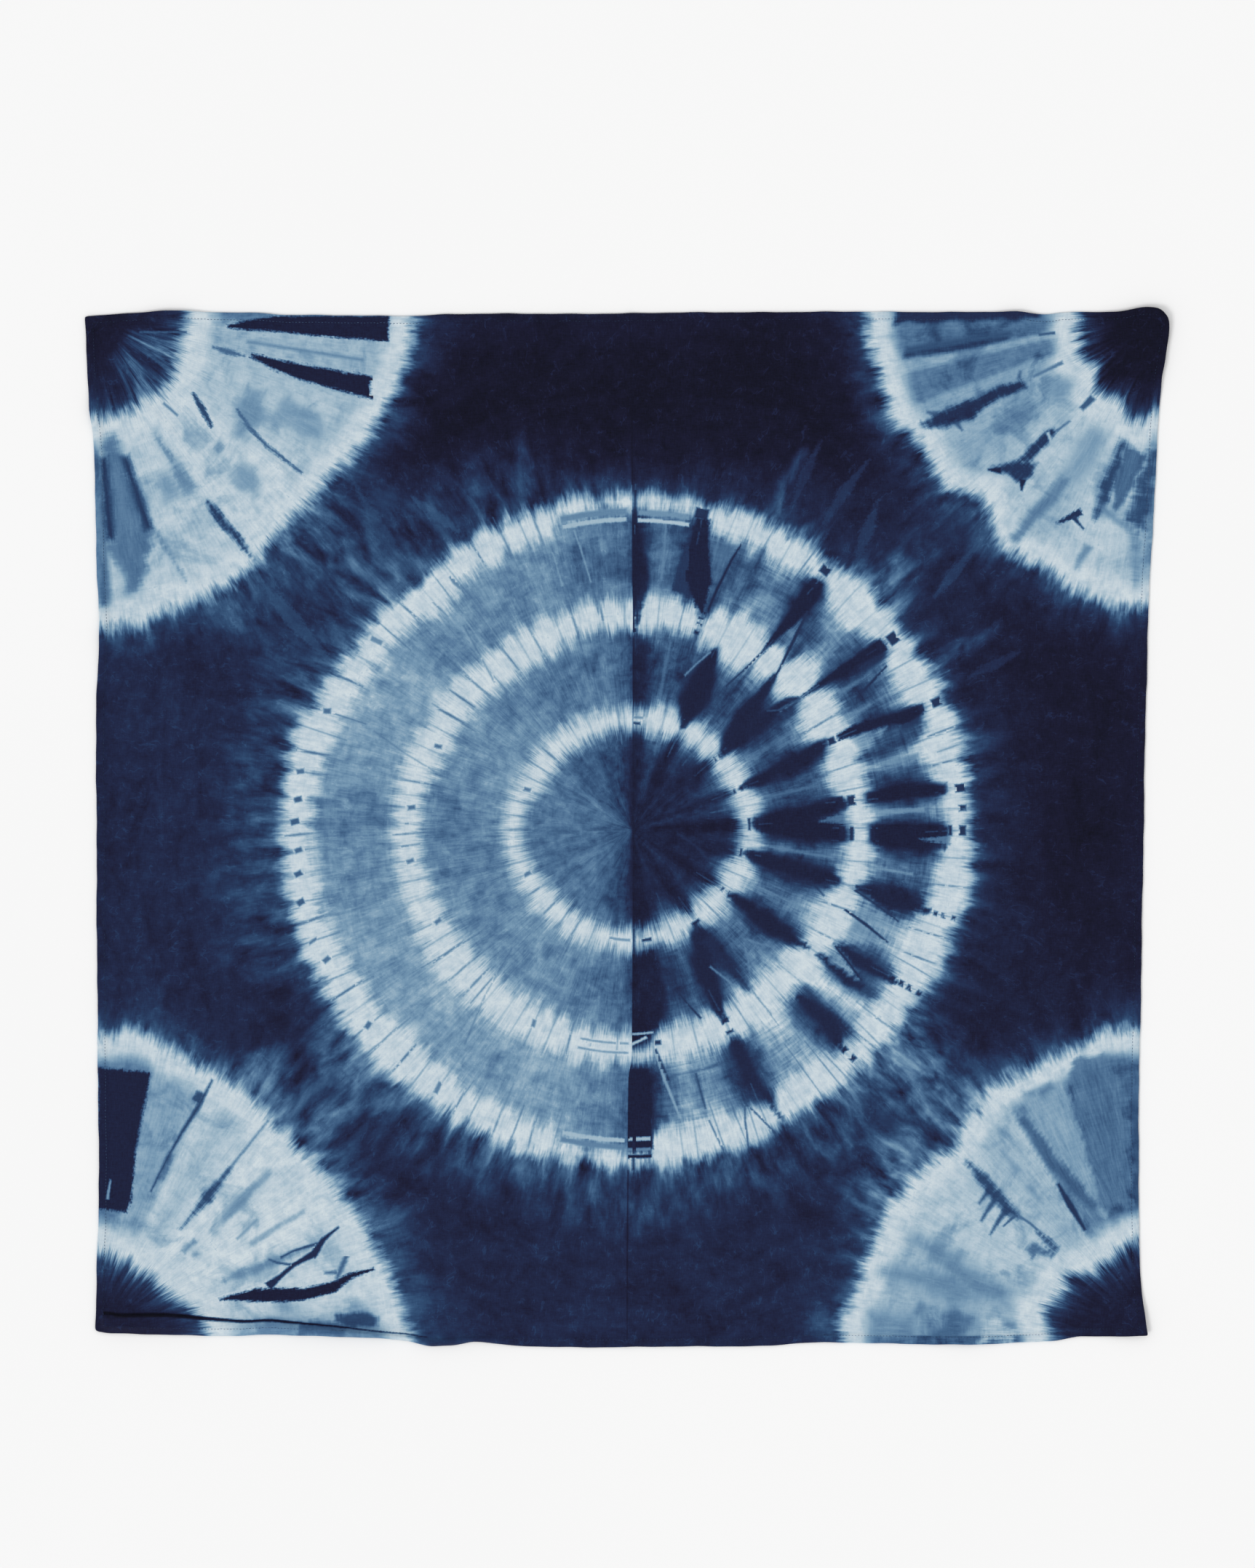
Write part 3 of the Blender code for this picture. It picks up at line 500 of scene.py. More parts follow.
RING_LINES = table_of(
    Trail,
    (0.85, 1, ((79.4, 264.5, 1.8), (89, 264, 1.8))), (0.58, 1.5, ((79.6, 270.5, 2.4), (89, 270.5, 2.4))),
    (0.8, 1, ((-90.8, 263.5, 1.6), (-86.6, 263.5, 1.6))),
    (0.02, 1, ((-90.8, 278.5, 1.5), (-86.6, 278.5, 1.5))),
    (0.5, 1, ((-90.8, 272.5, 1.4), (-86.6, 272.5, 1.4))), (0.85, 1, ((-90.4, 183, 1.2), (-86, 177, 1.2))),
    (0.75, 1, ((-90.4, 174, 1), (-84, 173.5, 1))), (0.8, 1, ((91, 264.8, 2), (103, 264.8, 2))),
    (0.52, 1.5, ((91, 271.5, 2.6), (103, 271.5, 2.6))), (0.8, 1, ((257, 264.8, 2), (268.6, 264.8, 2))),
    (0.5, 1.5, ((257, 270.5, 2.2), (268.6, 270.5, 2.2))),
    (0.45, 1, ((256, 183, 0.8), (269, 182, 0.8)), 0.7), (0.45, 1, ((256, 191, 0.8), (269, 190, 0.8)), 0.7),
    (0.45, 1, ((84.5, 96, 1), (89.4, 96, 1)), 0.7), (0.45, 1, ((258, 94, 1), (269, 94, 1)), 0.7),
    (0.72, 1, ((-80.5, 250, 1), (-82.6, 215, 1.4), (-84.8, 182, 1)), 0.8),
    (0.06, 1.2, ((-81.7, 216, 0.8), (-84, 188, 1.2)), 0.8),
    (0.12, 1.2, ((-75.3, 246, 0.8), (-75.4, 214, 0.8)), 0.7),
    (0.18, 2, ((-81, 212, 0.8), (-70, 213, 1)), 0.6),
    (0.2, 1, ((-70, 290, 0.8), (-68.8, 266, 0.8), (-67.8, 254, 0.6)), 0.8),
    (0.2, 1, ((-64.6, 288, 0.8), (-66.2, 266, 0.8), (-67.5, 253, 0.6)), 0.8),
    (0.25, 1, ((-74, 288, 0.7), (-75.2, 256, 0.6)), 0.7),
    (0.08, 1, ((-33.3, 234, 0.7), (-31.6, 217, 1), (-29.8, 199, 0.8))),
    (0.12, 1, ((-23.8, 238, 0.7), (-22, 214, 1.4), (-20.5, 193, 1))),
    (0.12, 1, ((-19, 240, 0.6), (-17, 217, 0.9), (-15.1, 196, 0.8))),
    (0.62, 1.4, ((-9, 242, 1.2), (-8.8, 210, 1.4)), 0.8), (0.62, 1.4, ((4, 250, 2), (4, 208, 2)), 0.8),
    (0.55, 1.8, ((14.6, 252, 2), (14.7, 222, 1.4)), 0.7),
    (0.5, 1.8, ((27.8, 230, 1.6), (27.8, 206, 2)), 0.7),
    (0.1, 1, ((32.8, 258, 0.8), (31.6, 238, 1.2), (30.4, 221, 0.8))),
    (0.5, 1.8, ((33.3, 238, 1), (33.4, 210, 2.4)), 0.8),
    (0.1, 1, ((51.3, 239, 0.7), (49.8, 215, 1.5), (47.9, 190, 1.1), (46.8, 176, 0.7))),
    (0.12, 1, ((53.8, 189, 0.8), (54.7, 171, 0.8), (56.9, 146, 0.7))),
    (0.3, 1, ((38, 184, 0.7), (39.3, 161, 0.8), (41.5, 153, 0.6)), 0.7),
    (0.06, 1, ((69, 262, 0.6), (69.8, 245, 1), (70.6, 218, 1.2), (71, 196, 0.8))),
    (0.52, 1.8, ((83.7, 268, 1.4), (83.4, 214, 1.6)), 0.8),
    (0.6, 1, ((66.2, 166, 0.8), (71.2, 139, 0.8)), 0.8), (0.1, 1, ((-70, 171, 0.9), (-74.8, 140, 0.8))),
    (0.55, 1.2, ((-56.5, 161, 0.9), (-60.4, 134, 0.8)), 0.8),
    (0.5, 1.2, ((-51, 160, 0.9), (-45, 134, 0.8)), 0.8),
    (0.5, 1.2, ((-39.6, 157, 0.9), (-44.2, 133, 0.8)), 0.8),
    (0.1, 1.2, ((-19, 173, 0.8), (-16, 158, 0.8)), 0.7),
    (0.52, 1.8, ((-24.8, 166, 1.4), (-24.3, 118, 1.2)), 0.8),
    (0.5, 1.8, ((-8, 174, 1.2), (-6.9, 118, 1.2)), 0.8),
    (0.42, 1.8, ((13.8, 160, 1.2), (13.4, 118, 2)), 0.7),
    (0.44, 1.8, ((31.5, 162, 1.4), (31.5, 118, 1.4)), 0.6),
    (0.44, 1.8, ((78.5, 164, 1.4), (78.5, 118, 1.4)), 0.7),
    (0.7, 1, ((101, 260, 0.6), (100.2, 238, 0.8), (99.5, 214, 0.6)), 0.7),
    (0.7, 1, ((106, 246, 0.6), (106, 216, 0.6)), 0.7),
    (0.7, 1, ((128.5, 231, 0.6), (128.7, 205, 0.6)), 0.7),
    (0.3, 1, ((129.5, 226, 0.7), (133, 172, 0.7)), 0.45),
    (0.34, 1, ((159, 236, 0.6), (163.5, 176, 0.6)), 0.45),
    (0.34, 1, ((232, 232, 0.6), (224.5, 143, 0.6)), 0.45), (0.12, 1.2, ((-22, 70, 1.2), (-5, 38, 1)), 0.6),
    # The four lines below, at about 89.5° and -89.5° on the middle fold, are painted shadow of its crease
    # across the rings.
    (0.02, 1.2, ((89.5, 203, 1.8), (89.5, 168, 1.8)), 0.9),
    (0.05, 1.2, ((89.5, 290, 1.2), (89.5, 262, 1.4)), 0.8),
    (0.05, 1.5, ((-89.4, 104, 1.2), (-89.2, 84, 1.6)), 0.8),
    (0.05, 1.2, ((-89.8, 290, 1.2), (-89.8, 262, 1.4)), 0.8),
)
KNOTS = table_of(
    Knot,
    (107.5, 1.2, 262, 282, 0.5), (113.8, 1, 258, 284, 0.5), (119.2, 0.9, 256, 284, 0.4),
    (125.6, 2.5, 252, 266, 0.5), (131, 1.2, 240, 258, 0.5), (135.6, 1.2, 255, 282, 0.45),
    (143.5, 2, 266, 276, 0.5), (152.2, 1.3, 260, 288, 0.4), (158.7, 2.2, 276, 282, 0.35),
    (166.4, 1.5, 264, 294, 0.35), (170, 2, 284, 290, 0.35), (174.8, 2.2, 283, 289, 0.25),
    (178.6, 2.4, 284, 291, 0.25), (180.8, 1.5, 272, 296, 0.45), (183.5, 2, 282, 288, 0.3),
    (187.5, 2.2, 284, 290, 0.25), (192.3, 2.4, 286, 292, 0.25), (195.7, 1.4, 270, 296, 0.4),
    (199.2, 1.2, 284, 292, 0.4), (203, 2, 280, 286, 0.35), (209.4, 1.4, 264, 294, 0.35),
    (216.5, 2, 277, 283, 0.35), (220.2, 1, 262, 290, 0.5), (225, 1.3, 258, 290, 0.4),
    (233, 1.8, 270, 280, 0.45), (237.5, 1, 262, 286, 0.5), (245.2, 1, 262, 288, 0.5),
    (251.7, 1, 262, 288, 0.5), (98, 1, 174, 194, 0.45), (105.6, 1.1, 172, 194, 0.45),
    (117, 1, 165, 192, 0.5), (125.5, 1.2, 164, 192, 0.45), (137, 1.1, 166, 194, 0.45),
    (142.3, 1.4, 168, 196, 0.4), (147.8, 1.5, 170, 196, 0.35), (156.7, 1.6, 177, 183, 0.35),
    (167.5, 1.1, 178, 202, 0.45), (174.2, 1.8, 186, 192, 0.35), (178.4, 0.8, 180, 204, 0.4),
    (181, 0.8, 180, 204, 0.4), (184, 0.8, 180, 204, 0.4), (188, 1.6, 188, 194, 0.4),
    (205.2, 1.7, 180, 186, 0.4), (213.6, 1.3, 172, 204, 0.4), (219.3, 1, 172, 202, 0.5),
    (224.2, 1.2, 170, 202, 0.45), (226.8, 0.9, 170, 202, 0.45), (243, 1.5, 182, 188, 0.45),
    (253.3, 1.1, 172, 200, 0.45), (137.5, 1.3, 86, 104, 0.45), (159, 1.6, 93, 99, 0.4),
    (180, 1, 94, 110, 0.5), (202.8, 1.6, 94, 100, 0.4), (212, 1.1, 88, 106, 0.45),
    (223.3, 1.1, 86, 105, 0.45), (240, 1, 86, 104, 0.5), (-42, 0.6, 256, 284, 0.4),
    (-37.5, 0.7, 262, 280, 0.5), (-24, 1, 252, 286, 0.4), (-19.2, 0.8, 250, 288, 0.35),
    (14.5, 1, 268, 290, 0.55), (17.7, 1, 264, 294, 0.4), (-10, 0.9, 260, 292, 0.45),
    (12.3, 0.9, 262, 296, 0.25), (29.5, 1, 168, 204, 0.4), (-42.2, 0.5, 172, 198, 0.55),
    (-20.5, 1, 168, 202, 0.4), (-28.7, 0.7, 170, 200, 0.45), (-53.2, 0.6, 172, 198, 0.5),
)
TOP_LEFT_FAN = FanTable(
    edges=table_of(
        BandPoint,
        (-92, 84, 266), (-84, 86, 268), (-80, 87, 269), (-75, 88, 261), (-70, 89, 260), (-62, 89, 261),
        (-55, 90, 255), (-49, 92, 249), (-45, 94, 246), (-40, 92, 248), (-35, 92, 250), (-28, 86, 256),
        (-22, 86, 264), (-16, 84, 270), (-10, 84, 275), (-5, 86, 279), (2, 86, 281),
    ),
    panels=table_of(
        Tone,
        (-92, 0.5), (-85, 0.5), (-84, 0.86), (-70, 0.86), (-66, 0.88), (-60, 0.88), (-54, 0.92), (-46, 0.9),
        (-40, 0.94), (-33, 0.84), (-26, 0.82), (-21, 0.84), (-17, 0.8), (-12.5, 0.8), (-9, 0.74),
        (-5, 0.78), (2, 0.5),
    ),
    blocks=table_of(
        Trail,
        (0.38, 5, ((-80, 236, 5), (-78.8, 200, 18), (-78.8, 165, 17), (-78.6, 128, 10),
            (-78.4, 106, 4)), 0.95),
        (0.25, 3, ((-86.2, 248, 3), (-85.8, 212, 1)), 0.8),
        (0.4, 2.5, ((-69.3, 242, 0.6), (-70.2, 215, 1.8), (-71.5, 200, 1.5), (-73, 188, 2)), 0.8),
        (0.08, 2.2, ((-55, 252, 0.5), (-55.6, 236, 2.4), (-56.2, 208, 3.8), (-56.6, 188, 1.6))),
        (0.42, 3, ((-59, 176, 8), (-58.6, 150, 4), (-59.2, 116, 1.5)), 0.75),
        (0.6, 5, ((-64, 172, 10), (-63, 150, 6)), 0.8),
        (0.6, 4, ((-47, 207, 7), (-45, 195, 12), (-45.5, 182, 8)), 0.8),
        (0.5, 3, ((-46, 160, 3), (-43, 160, 3))),
        (0.35, 1.5, ((-35.9, 228, 0.8), (-35.6, 190, 1.5), (-34.3, 170, 1.5), (-31.5, 152, 1))),
        (0.52, 4.5, ((-38.5, 168, 7), (-31, 162, 9), (-23, 158, 8)), 0.8),
        (0.6, 4, ((-27.5, 228, 3), (-25.5, 208, 12), (-25, 184, 12)), 0.8),
        (0.2, 1.5, ((-41.3, 144, 1.2), (-38.5, 128, 2.6), (-35.6, 113, 1.2))),
        (0.02, 1.8, ((-13.8, 250, 6), (-14.1, 244, 9), (-14.5, 200, 7), (-14.4, 172, 5),
            (-13.4, 146, 1.5))),
        (0.25, 1.5, ((-14.2, 140, 0.4), (-14, 125, 2.6), (-13.6, 112, 0.6)), 0.8),
        (0.02, 1.5, ((-2.4, 259, 11), (-2.4, 160, 6.5), (-3.2, 138, 4), (-4.3, 122, 1))),
    ),
    lines=table_of(
        Trail,
        (0.12, 4, ((-83.4, 192, 4), (-82.6, 122, 3))), (0.14, 4, ((-73.4, 190, 4), (-74.2, 125, 3))),
        (0.48, 4, ((-79, 178, 3), (-78.8, 136, 3))), (0.5, 1.2, ((-47, 116, 1), (-48, 100, 1))),
        (0.5, 2, ((-9, 240, 1), (-9, 140, 1))),
    ),
)
TOP_RIGHT_FAN = FanTable(
    edges=table_of(
        BandPoint,
        (178, 76, 256), (185, 75, 257), (190, 79, 253), (195, 77, 253), (201, 79, 253), (204, 84, 248),
        (209, 85, 240), (213, 82, 242), (218, 78, 243), (222, 83, 233), (225, 87, 226), (228, 91, 231),
        (236, 92, 245), (240, 88, 247), (244, 88, 244), (250, 99, 251), (256, 99, 253), (260, 92, 257),
        (264, 86, 255), (272, 86, 250),
    ),
    panels=table_of(
        Tone,
        (178, 0.36), (183, 0.44), (188, 0.4), (190, 0.36), (191.5, 0.7), (193.2, 0.68), (194, 0.46),
        (197, 0.44), (200, 0.47), (201, 0.66), (204, 0.68), (209, 0.74), (216, 0.66), (222, 0.8),
        (228, 0.86), (236, 0.84), (241, 0.76), (246, 0.86), (252, 0.88), (260, 0.86), (272, 0.46),
    ),
    blocks=table_of(
        Trail,
        (0.05, 2.5, ((181.4, 232, 5.5), (181.6, 110, 4))),
        (0.1, 3, ((189.6, 228, 1.5), (190, 190, 2.5), (190.1, 138, 1.2))),
        (0.03, 3.2, ((204.8, 232, 1), (206.2, 212, 6), (206.6, 196, 7), (206.3, 175, 5.4),
            (206.4, 150, 4.6), (206.8, 138, 2))),
        (0.04, 2.6, ((222, 203, 1), (224.5, 192, 5), (227.5, 185, 8), (230.4, 180, 5))),
        (0.05, 2, ((226.3, 178, 4), (226.8, 152, 4.5), (226.5, 141, 2))),
        (0.42, 4, ((236, 236, 3), (237.5, 200, 5), (239, 165, 3))),
        (0.1, 1.5, ((242.6, 205, 0.6), (244.6, 196, 2.5), (246.8, 187, 3))),
        (0.12, 4, ((251, 186, 1), (251.2, 160, 5), (251.5, 140, 5), (251.8, 118, 2))),
        (0.3, 2.5, ((255.2, 177, 2), (255.8, 150, 8), (257.2, 122, 10))),
        (0.16, 4, ((261.6, 186, 9), (262.8, 150, 8), (264.2, 120, 4)), 0.85),
        (0.4, 4, ((263.6, 238, 1.5), (262.2, 208, 3), (261.2, 190, 5)), 0.7),
        (0.5, 2.5, ((250.4, 234, 1.5), (251.5, 212, 3.5))), (0.56, 5, ((213, 116, 5), (218, 113, 6)), 0.9),
        (0.64, 6, ((240, 165, 9), (240.5, 120, 8)), 0.9),
    ),
    lines=table_of(
        Trail,
        (0.05, 1.8, ((206.5, 205, 4), (210.4, 203, 0.6)), 0.6),
        (0.05, 1.8, ((206.5, 192, 4), (209.6, 190, 0.8)), 0.6),
        (0.1, 1.8, ((204.5, 215, 3), (203, 223, 0.8)), 0.6),
        (0.1, 1.8, ((206.3, 145, 2.5), (209, 137, 0.8)), 0.6),
        (0.1, 1.8, ((205, 140, 2), (202.5, 136, 0.8)), 0.6),
        (0.45, 1.2, ((206.4, 128, 1), (206.6, 100, 1.5))), (0.05, 1.2, ((224, 197, 3), (221.6, 205, 0.6))),
        (0.05, 1.2, ((229.5, 190, 3), (231, 198, 0.6))), (0.8, 1.2, ((225.5, 146, 1.4), (230, 152, 1.4))),
        (0.4, 1.2, ((227.5, 140, 1), (228.6, 126, 0.8))), (0.3, 1.5, ((229, 112, 2), (229.5, 98, 3))),
        (0.15, 1.2, ((245.5, 194, 2), (249, 200, 0.5))),
        (0.45, 3, ((251, 176, 2), (256, 184, 3), (261, 190, 3)), 0.6),
        (0.25, 2.5, ((188.6, 225, 2), (188.4, 135, 2))), (0.3, 1, ((190.9, 112, 1), (191.5, 98, 1.2))),
    ),
)
LOWER_RIGHT_FAN = FanTable(
    edges=table_of(
        BandPoint,
        (88, 84, 260), (96, 80, 262), (98, 80, 263), (102, 79, 254), (110, 74, 250), (118, 71, 248),
        (123, 74, 250), (128, 70, 240), (133, 74, 236), (136, 76, 229), (141, 84, 238), (145, 86, 240),
        (150, 83, 244), (155, 82, 248), (160, 84, 244), (166, 92, 250), (171, 90, 248), (176, 86, 262),
        (182, 84, 256),
    ),
    panels=table_of(
        Tone,
        (88, 0.34), (94, 0.37), (108, 0.38), (108.6, 0.64), (112, 0.62), (117.5, 0.64), (119, 0.49),
        (120.8, 0.54), (121.5, 0.82), (128, 0.74), (135, 0.84), (139, 0.84), (146, 0.86), (155, 0.84),
        (160, 0.78), (168, 0.74), (174, 0.72), (182, 0.64),
    ),
    blocks=table_of(
        Trail,
        (0.41, 3, ((102.5, 242, 14), (101.5, 205, 22), (101.8, 150, 16), (103, 112, 12))),
        (0.66, 2.2, ((113.2, 230, 18), (113.2, 200, 17), (113.2, 170, 13), (112.8, 145, 7),
            (112.6, 126, 0.6)), 0.95),
        (0.3, 2.5, ((119.9, 214, 2.5), (119, 180, 4.5), (117.4, 155, 5), (115.2, 135, 4.5),
            (112.5, 118, 3))),
        (0.12, 3, ((136, 214, 0.6), (136.6, 195, 3.5), (137.2, 175, 4.5), (137.6, 160, 4),
            (137.4, 146, 0.8))),
        (0.2, 2, ((136.6, 130, 1.5), (136.5, 106, 2.5))),
        (0.3, 2.5, ((140.3, 106, 1.5), (142.5, 122, 4), (144, 124, 3), (146, 117, 0.8))),
        (0.5, 8, ((157.2, 212, 0.8), (158.5, 190, 4), (161, 170, 7), (163.5, 150, 8), (164.5, 126, 4))),
        (0.5, 8, ((166.3, 232, 1), (166.3, 210, 3), (165.5, 185, 8), (167, 165, 10), (169, 160, 9))),
        (0.46, 7, ((157, 176, 4), (161, 172, 6))),
        (0.36, 7, ((181, 172, 12), (176, 165, 9), (174.8, 150, 3))),
        (0.52, 7, ((178, 235, 9), (178.5, 200, 9))), (0.84, 4, ((179, 142, 10), (179, 112, 8)), 0.85),
        (0.45, 3, ((172, 192, 3), (175, 197, 3))), (0.45, 2.5, ((175.2, 123, 2.5), (175.8, 113, 2.5))),
    ),
    lines=table_of(
        Trail,
        (0.28, 3, ((93.2, 205, 2.5), (93.6, 110, 2)), 0.7),
        (0.12, 1.2, ((120.5, 150, 1.2), (120.7, 128, 2.8), (120.6, 104, 1.2))),
        (0.36, 4, ((111, 228, 3), (113.8, 225, 2)), 0.7), (0.4, 4, ((115, 228, 2), (117, 231, 1)), 0.6),
        (0.15, 1.8, ((137.5, 183, 2), (142, 182, 0.6)), 0.8),
        (0.15, 1.8, ((138, 174, 2.5), (145.5, 172, 0.7)), 0.8),
        (0.12, 1.8, ((138, 161, 3), (147.5, 159, 0.6)), 0.8),
        (0.3, 1, ((137.8, 152, 1.5), (143, 154, 0.5))),
        (0.4, 1, ((137.2, 152, 1), (136.3, 138, 1), (136.2, 130, 1))),
        (0.55, 3.5, ((128.3, 194, 1), (128.3, 178, 2)), 0.7),
        (0.5, 3.5, ((128.5, 163, 2), (128.5, 148, 1)), 0.7),
    ),
)
LOWER_LEFT_FAN = FanTable(
    edges=table_of(
        BandPoint,
        (-2, 96, 274), (3, 94, 262), (8, 90, 258), (12, 86, 255), (16, 82, 249), (22, 74, 245),
        (30, 68, 241), (36, 68, 236), (42, 67, 234), (48, 66, 233), (51, 64, 235), (56, 63, 240),
        (64, 66, 242), (70, 63, 246), (76, 65, 249), (82, 68, 259), (86, 68, 255), (92, 68, 252),
    ),
    panels=table_of(
        Tone,
        (-2, 0.65), (3, 0.75), (7, 0.91), (15, 0.91), (20, 0.89), (28, 0.97), (41, 0.89), (46, 0.95),
        (52, 0.89), (58, 0.79), (64, 0.89), (66.5, 0.71), (70, 0.65), (77, 0.69), (78, 0.55), (92, 0.45),
    ),
    blocks=table_of(
        Trail,
        (0.15, 2.5, ((2, 240, 4), (2.4, 222, 6.5), (3.2, 205, 3))),
        (0.01, 1.5, ((12.6, 243, 0.6), (12.2, 222, 2.5), (10.4, 205, 4.5), (10, 180, 5), (11.3, 158, 6),
            (12.6, 140, 5.5), (13.7, 122, 2.5), (14.2, 110, 0.3))),
        (0.45, 3, ((21.8, 200, 1), (21.2, 165, 3.5), (21.3, 140, 4), (21.6, 117, 1.5)), 0.85),
        (0.57, 7, ((9, 168, 8), (6, 160, 5))), (0.62, 2, ((30, 206, 1.5), (29.2, 150, 2))),
        (0.55, 2.5, ((42.6, 202, 2), (41.6, 165, 3.5), (41.2, 145, 1.5))),
        (0.55, 2.5, ((35.5, 110, 1), (38.5, 107, 2.5))), (0.55, 2, ((42.2, 115, 1.5), (42, 101, 1.5))),
        (0.12, 2.5, ((50.4, 180, 0.6), (50.2, 160, 2.8), (50, 148, 3.6), (50, 134, 1.5), (50, 116, 0.5))),
        (0.3, 3, ((66.6, 165, 3), (66.9, 140, 2))), (0.15, 2, ((66, 222, 2.5), (66.8, 212, 3))),
        (0.03, 1.8, ((83.6, 224, 23), (83.5, 200, 20), (83.3, 160, 16.5), (82.7, 138, 15.5),
            (82.1, 118, 15), (82.2, 104, 12.5))),
    ),
    lines=table_of(
        Trail,
        (0.08, 1.2, ((14.4, 152, 4), (16.5, 165, 1.8), (18.4, 178, 1.6), (19.5, 198, 3), (21.8, 209, 2),
            (23.2, 226, 0.6))),
        (0.2, 1.2, ((21.5, 206, 1), (22, 182, 1), (21.7, 170, 1))),
        (0.25, 1.2, ((18.8, 176, 1), (20.5, 166, 1), (22.5, 160, 0.6))),
        (0.35, 2, ((12, 210, 1), (13.5, 214, 2), (14.3, 202, 0.6))),
        (0.62, 1.5, ((34.6, 168, 1), (33, 144, 0.8))), (0.3, 1.8, ((50.6, 232, 0.5), (50.4, 175, 1)), 0.8),
        (0.12, 1.8, ((65, 236, 0.5), (65.4, 208, 2), (66.4, 185, 1.4), (67.2, 165, 0.9),
            (68.3, 128, 0.4)), 0.9),
        (0.62, 1, ((84.2, 130, 0.8), (84.7, 113, 1.2))),
    ),
)
FLAT_BLOCKS = table_of(
    Trail,
    (0.5, 3, ((-308, -424, 6), (-284, -425, 6))), (0.3, 3, ((-280, -426, 6), (-240, -429, 6))),
    (0.32, 1.8, ((-184, 282, 0.4), (-163, 266, 5), (-142, 251, 1.5)), 0.45),
    (0.32, 1.8, ((-318, 216, 0.4), (-285, 178, 7), (-253, 141, 2)), 0.45),
    (0.24, 1.8, ((-236, 300, 0.4), (-205, 246, 6), (-190, 222, 2)), 0.45),
    (0.2, 1.8, ((207, 314, 0.4), (186, 286, 5), (167, 258, 1)), 0.45),
    (0.22, 1.8, ((215, 280, 0.4), (204, 250, 6), (196, 226, 1)), 0.45),
    (0.24, 1.8, ((296, 238, 0.4), (278, 216, 5), (262, 196, 1)), 0.45),
    (0.16, 1.8, ((336, 150, 0.4), (312, 138, 5), (290, 128, 1)), 0.45),
    (0.18, 1.8, ((166, 330, 0.4), (152, 300, 5), (142, 276, 1)), 0.45),
    (0.2, 1.8, ((-300, -260, 0.4), (-268, -228, 6), (-240, -202, 1)), 0.45),
    (0.2, 1.8, ((250, -286, 0.4), (222, -250, 6), (204, -228, 1)), 0.45),
)
FLAT_LINES = table_of(
    Trail,
    (0.3, 1, ((-415, 422, 0.8), (-375, 422, 0.8))),
    # The lines below, along the middle fold at x of about 1 to 5, are painted shadow of the fold's crease.
    (-0.05, 0.8, ((2.4, 436, 0.3), (4.2, 360, 0.6), (4.6, 292, 0.5)), 0.7),
    (-0.05, 0.8, ((1.2, -292, 0.5), (0.6, -350, 0.6), (0.4, -436, 0.3)), 0.7),
    (0.02, 0.8, ((4.9, 270, 0.5), (5.1, 206, 0.7)), 0.6),
    (0.02, 0.8, ((5.4, 168, 0.6), (5.4, -174, 0.6)), 0.45),
    (0.02, 0.8, ((3.4, -206, 0.7), (1.2, -268, 0.5)), 0.6),
)
GROUND_GLOWS = table_of(
    Trail,
    (0.3, 24, ((-404, 368, 12), (-428, 398, 5))), (0.34, 20, ((-386, 404, 9), (-420, 415, 4))),
    (0.2, 80, ((-290, 262, 40), (-206, 196, 40))), (0.12, 70, ((-330, 190, 30), (-272, 120, 30))),
    (0.06, 80, ((290, 270, 30), (216, 206, 30))), (0.22, 80, ((262, -250, 30), (212, -206, 30))),
    (0.46, 50, ((213, -312, 14), (226, -282, 14))), (0.24, 80, ((-296, -246, 35), (-216, -194, 35))),
    (0.2, 50, ((-340, -222, 14), (-310, -206, 14))), (0.14, 40, ((232, 222, 8), (216, 206, 8))),
    (0.16, 12, ((316, 172, 3), (286, 152, 7), (262, 138, 3))),
    (0.16, 12, ((150, 322, 3), (136, 290, 7), (128, 268, 3))),
    (0.14, 60, ((-256, -276, 15), (-204, -340, 15))), (0.36, 60, ((246, -178, 14), (288, -246, 14))),
    (0.2, 90, ((-320, 90, 10), (-322, -110, 10))), (0.2, 90, ((-190, 260, 10), (-96, 306, 10))),
    (0.2, 90, ((-190, -262, 10), (0, -322, 10), (170, -276, 10))),
)
# Broad shifts of the ground's tone: darker at the upper right corner, along the top and down the right side;
# paler down the left side and along the lower edge.
GROUND_TONES = table_of(
    Trail,
    (-0.06, 60, ((410, 390, 30), (460, 440, 50))), (-0.045, 80, ((-150, 356, 60), (170, 366, 60))),
    (-0.03, 80, ((390, 130, 40), (380, -40, 40))), (0.06, 120, ((-400, 100, 50), (-400, -160, 70))),
    (0.05, 110, ((-170, -360, 30), (30, -376, 40), (190, -360, 30))),
    (0.05, 60, ((-200, -420, 40), (200, -420, 40))),
)


def column(table: Sequence[NamedTuple], value: str) -> tuple[np.ndarray, np.ndarray]:
    """Return a table's stations, from its first column, and the values of a named column."""
    places = np.array([row[0] for row in table], dtype=float)
    return places, np.array([getattr(row, value) for row in table], dtype=float)


def read_straight(table: Sequence[NamedTuple], value: str, at: np.ndarray) -> np.ndarray:
    """Read a column of a table between its stations, on straight lines."""
    return np.interp(at, *column(table, value))


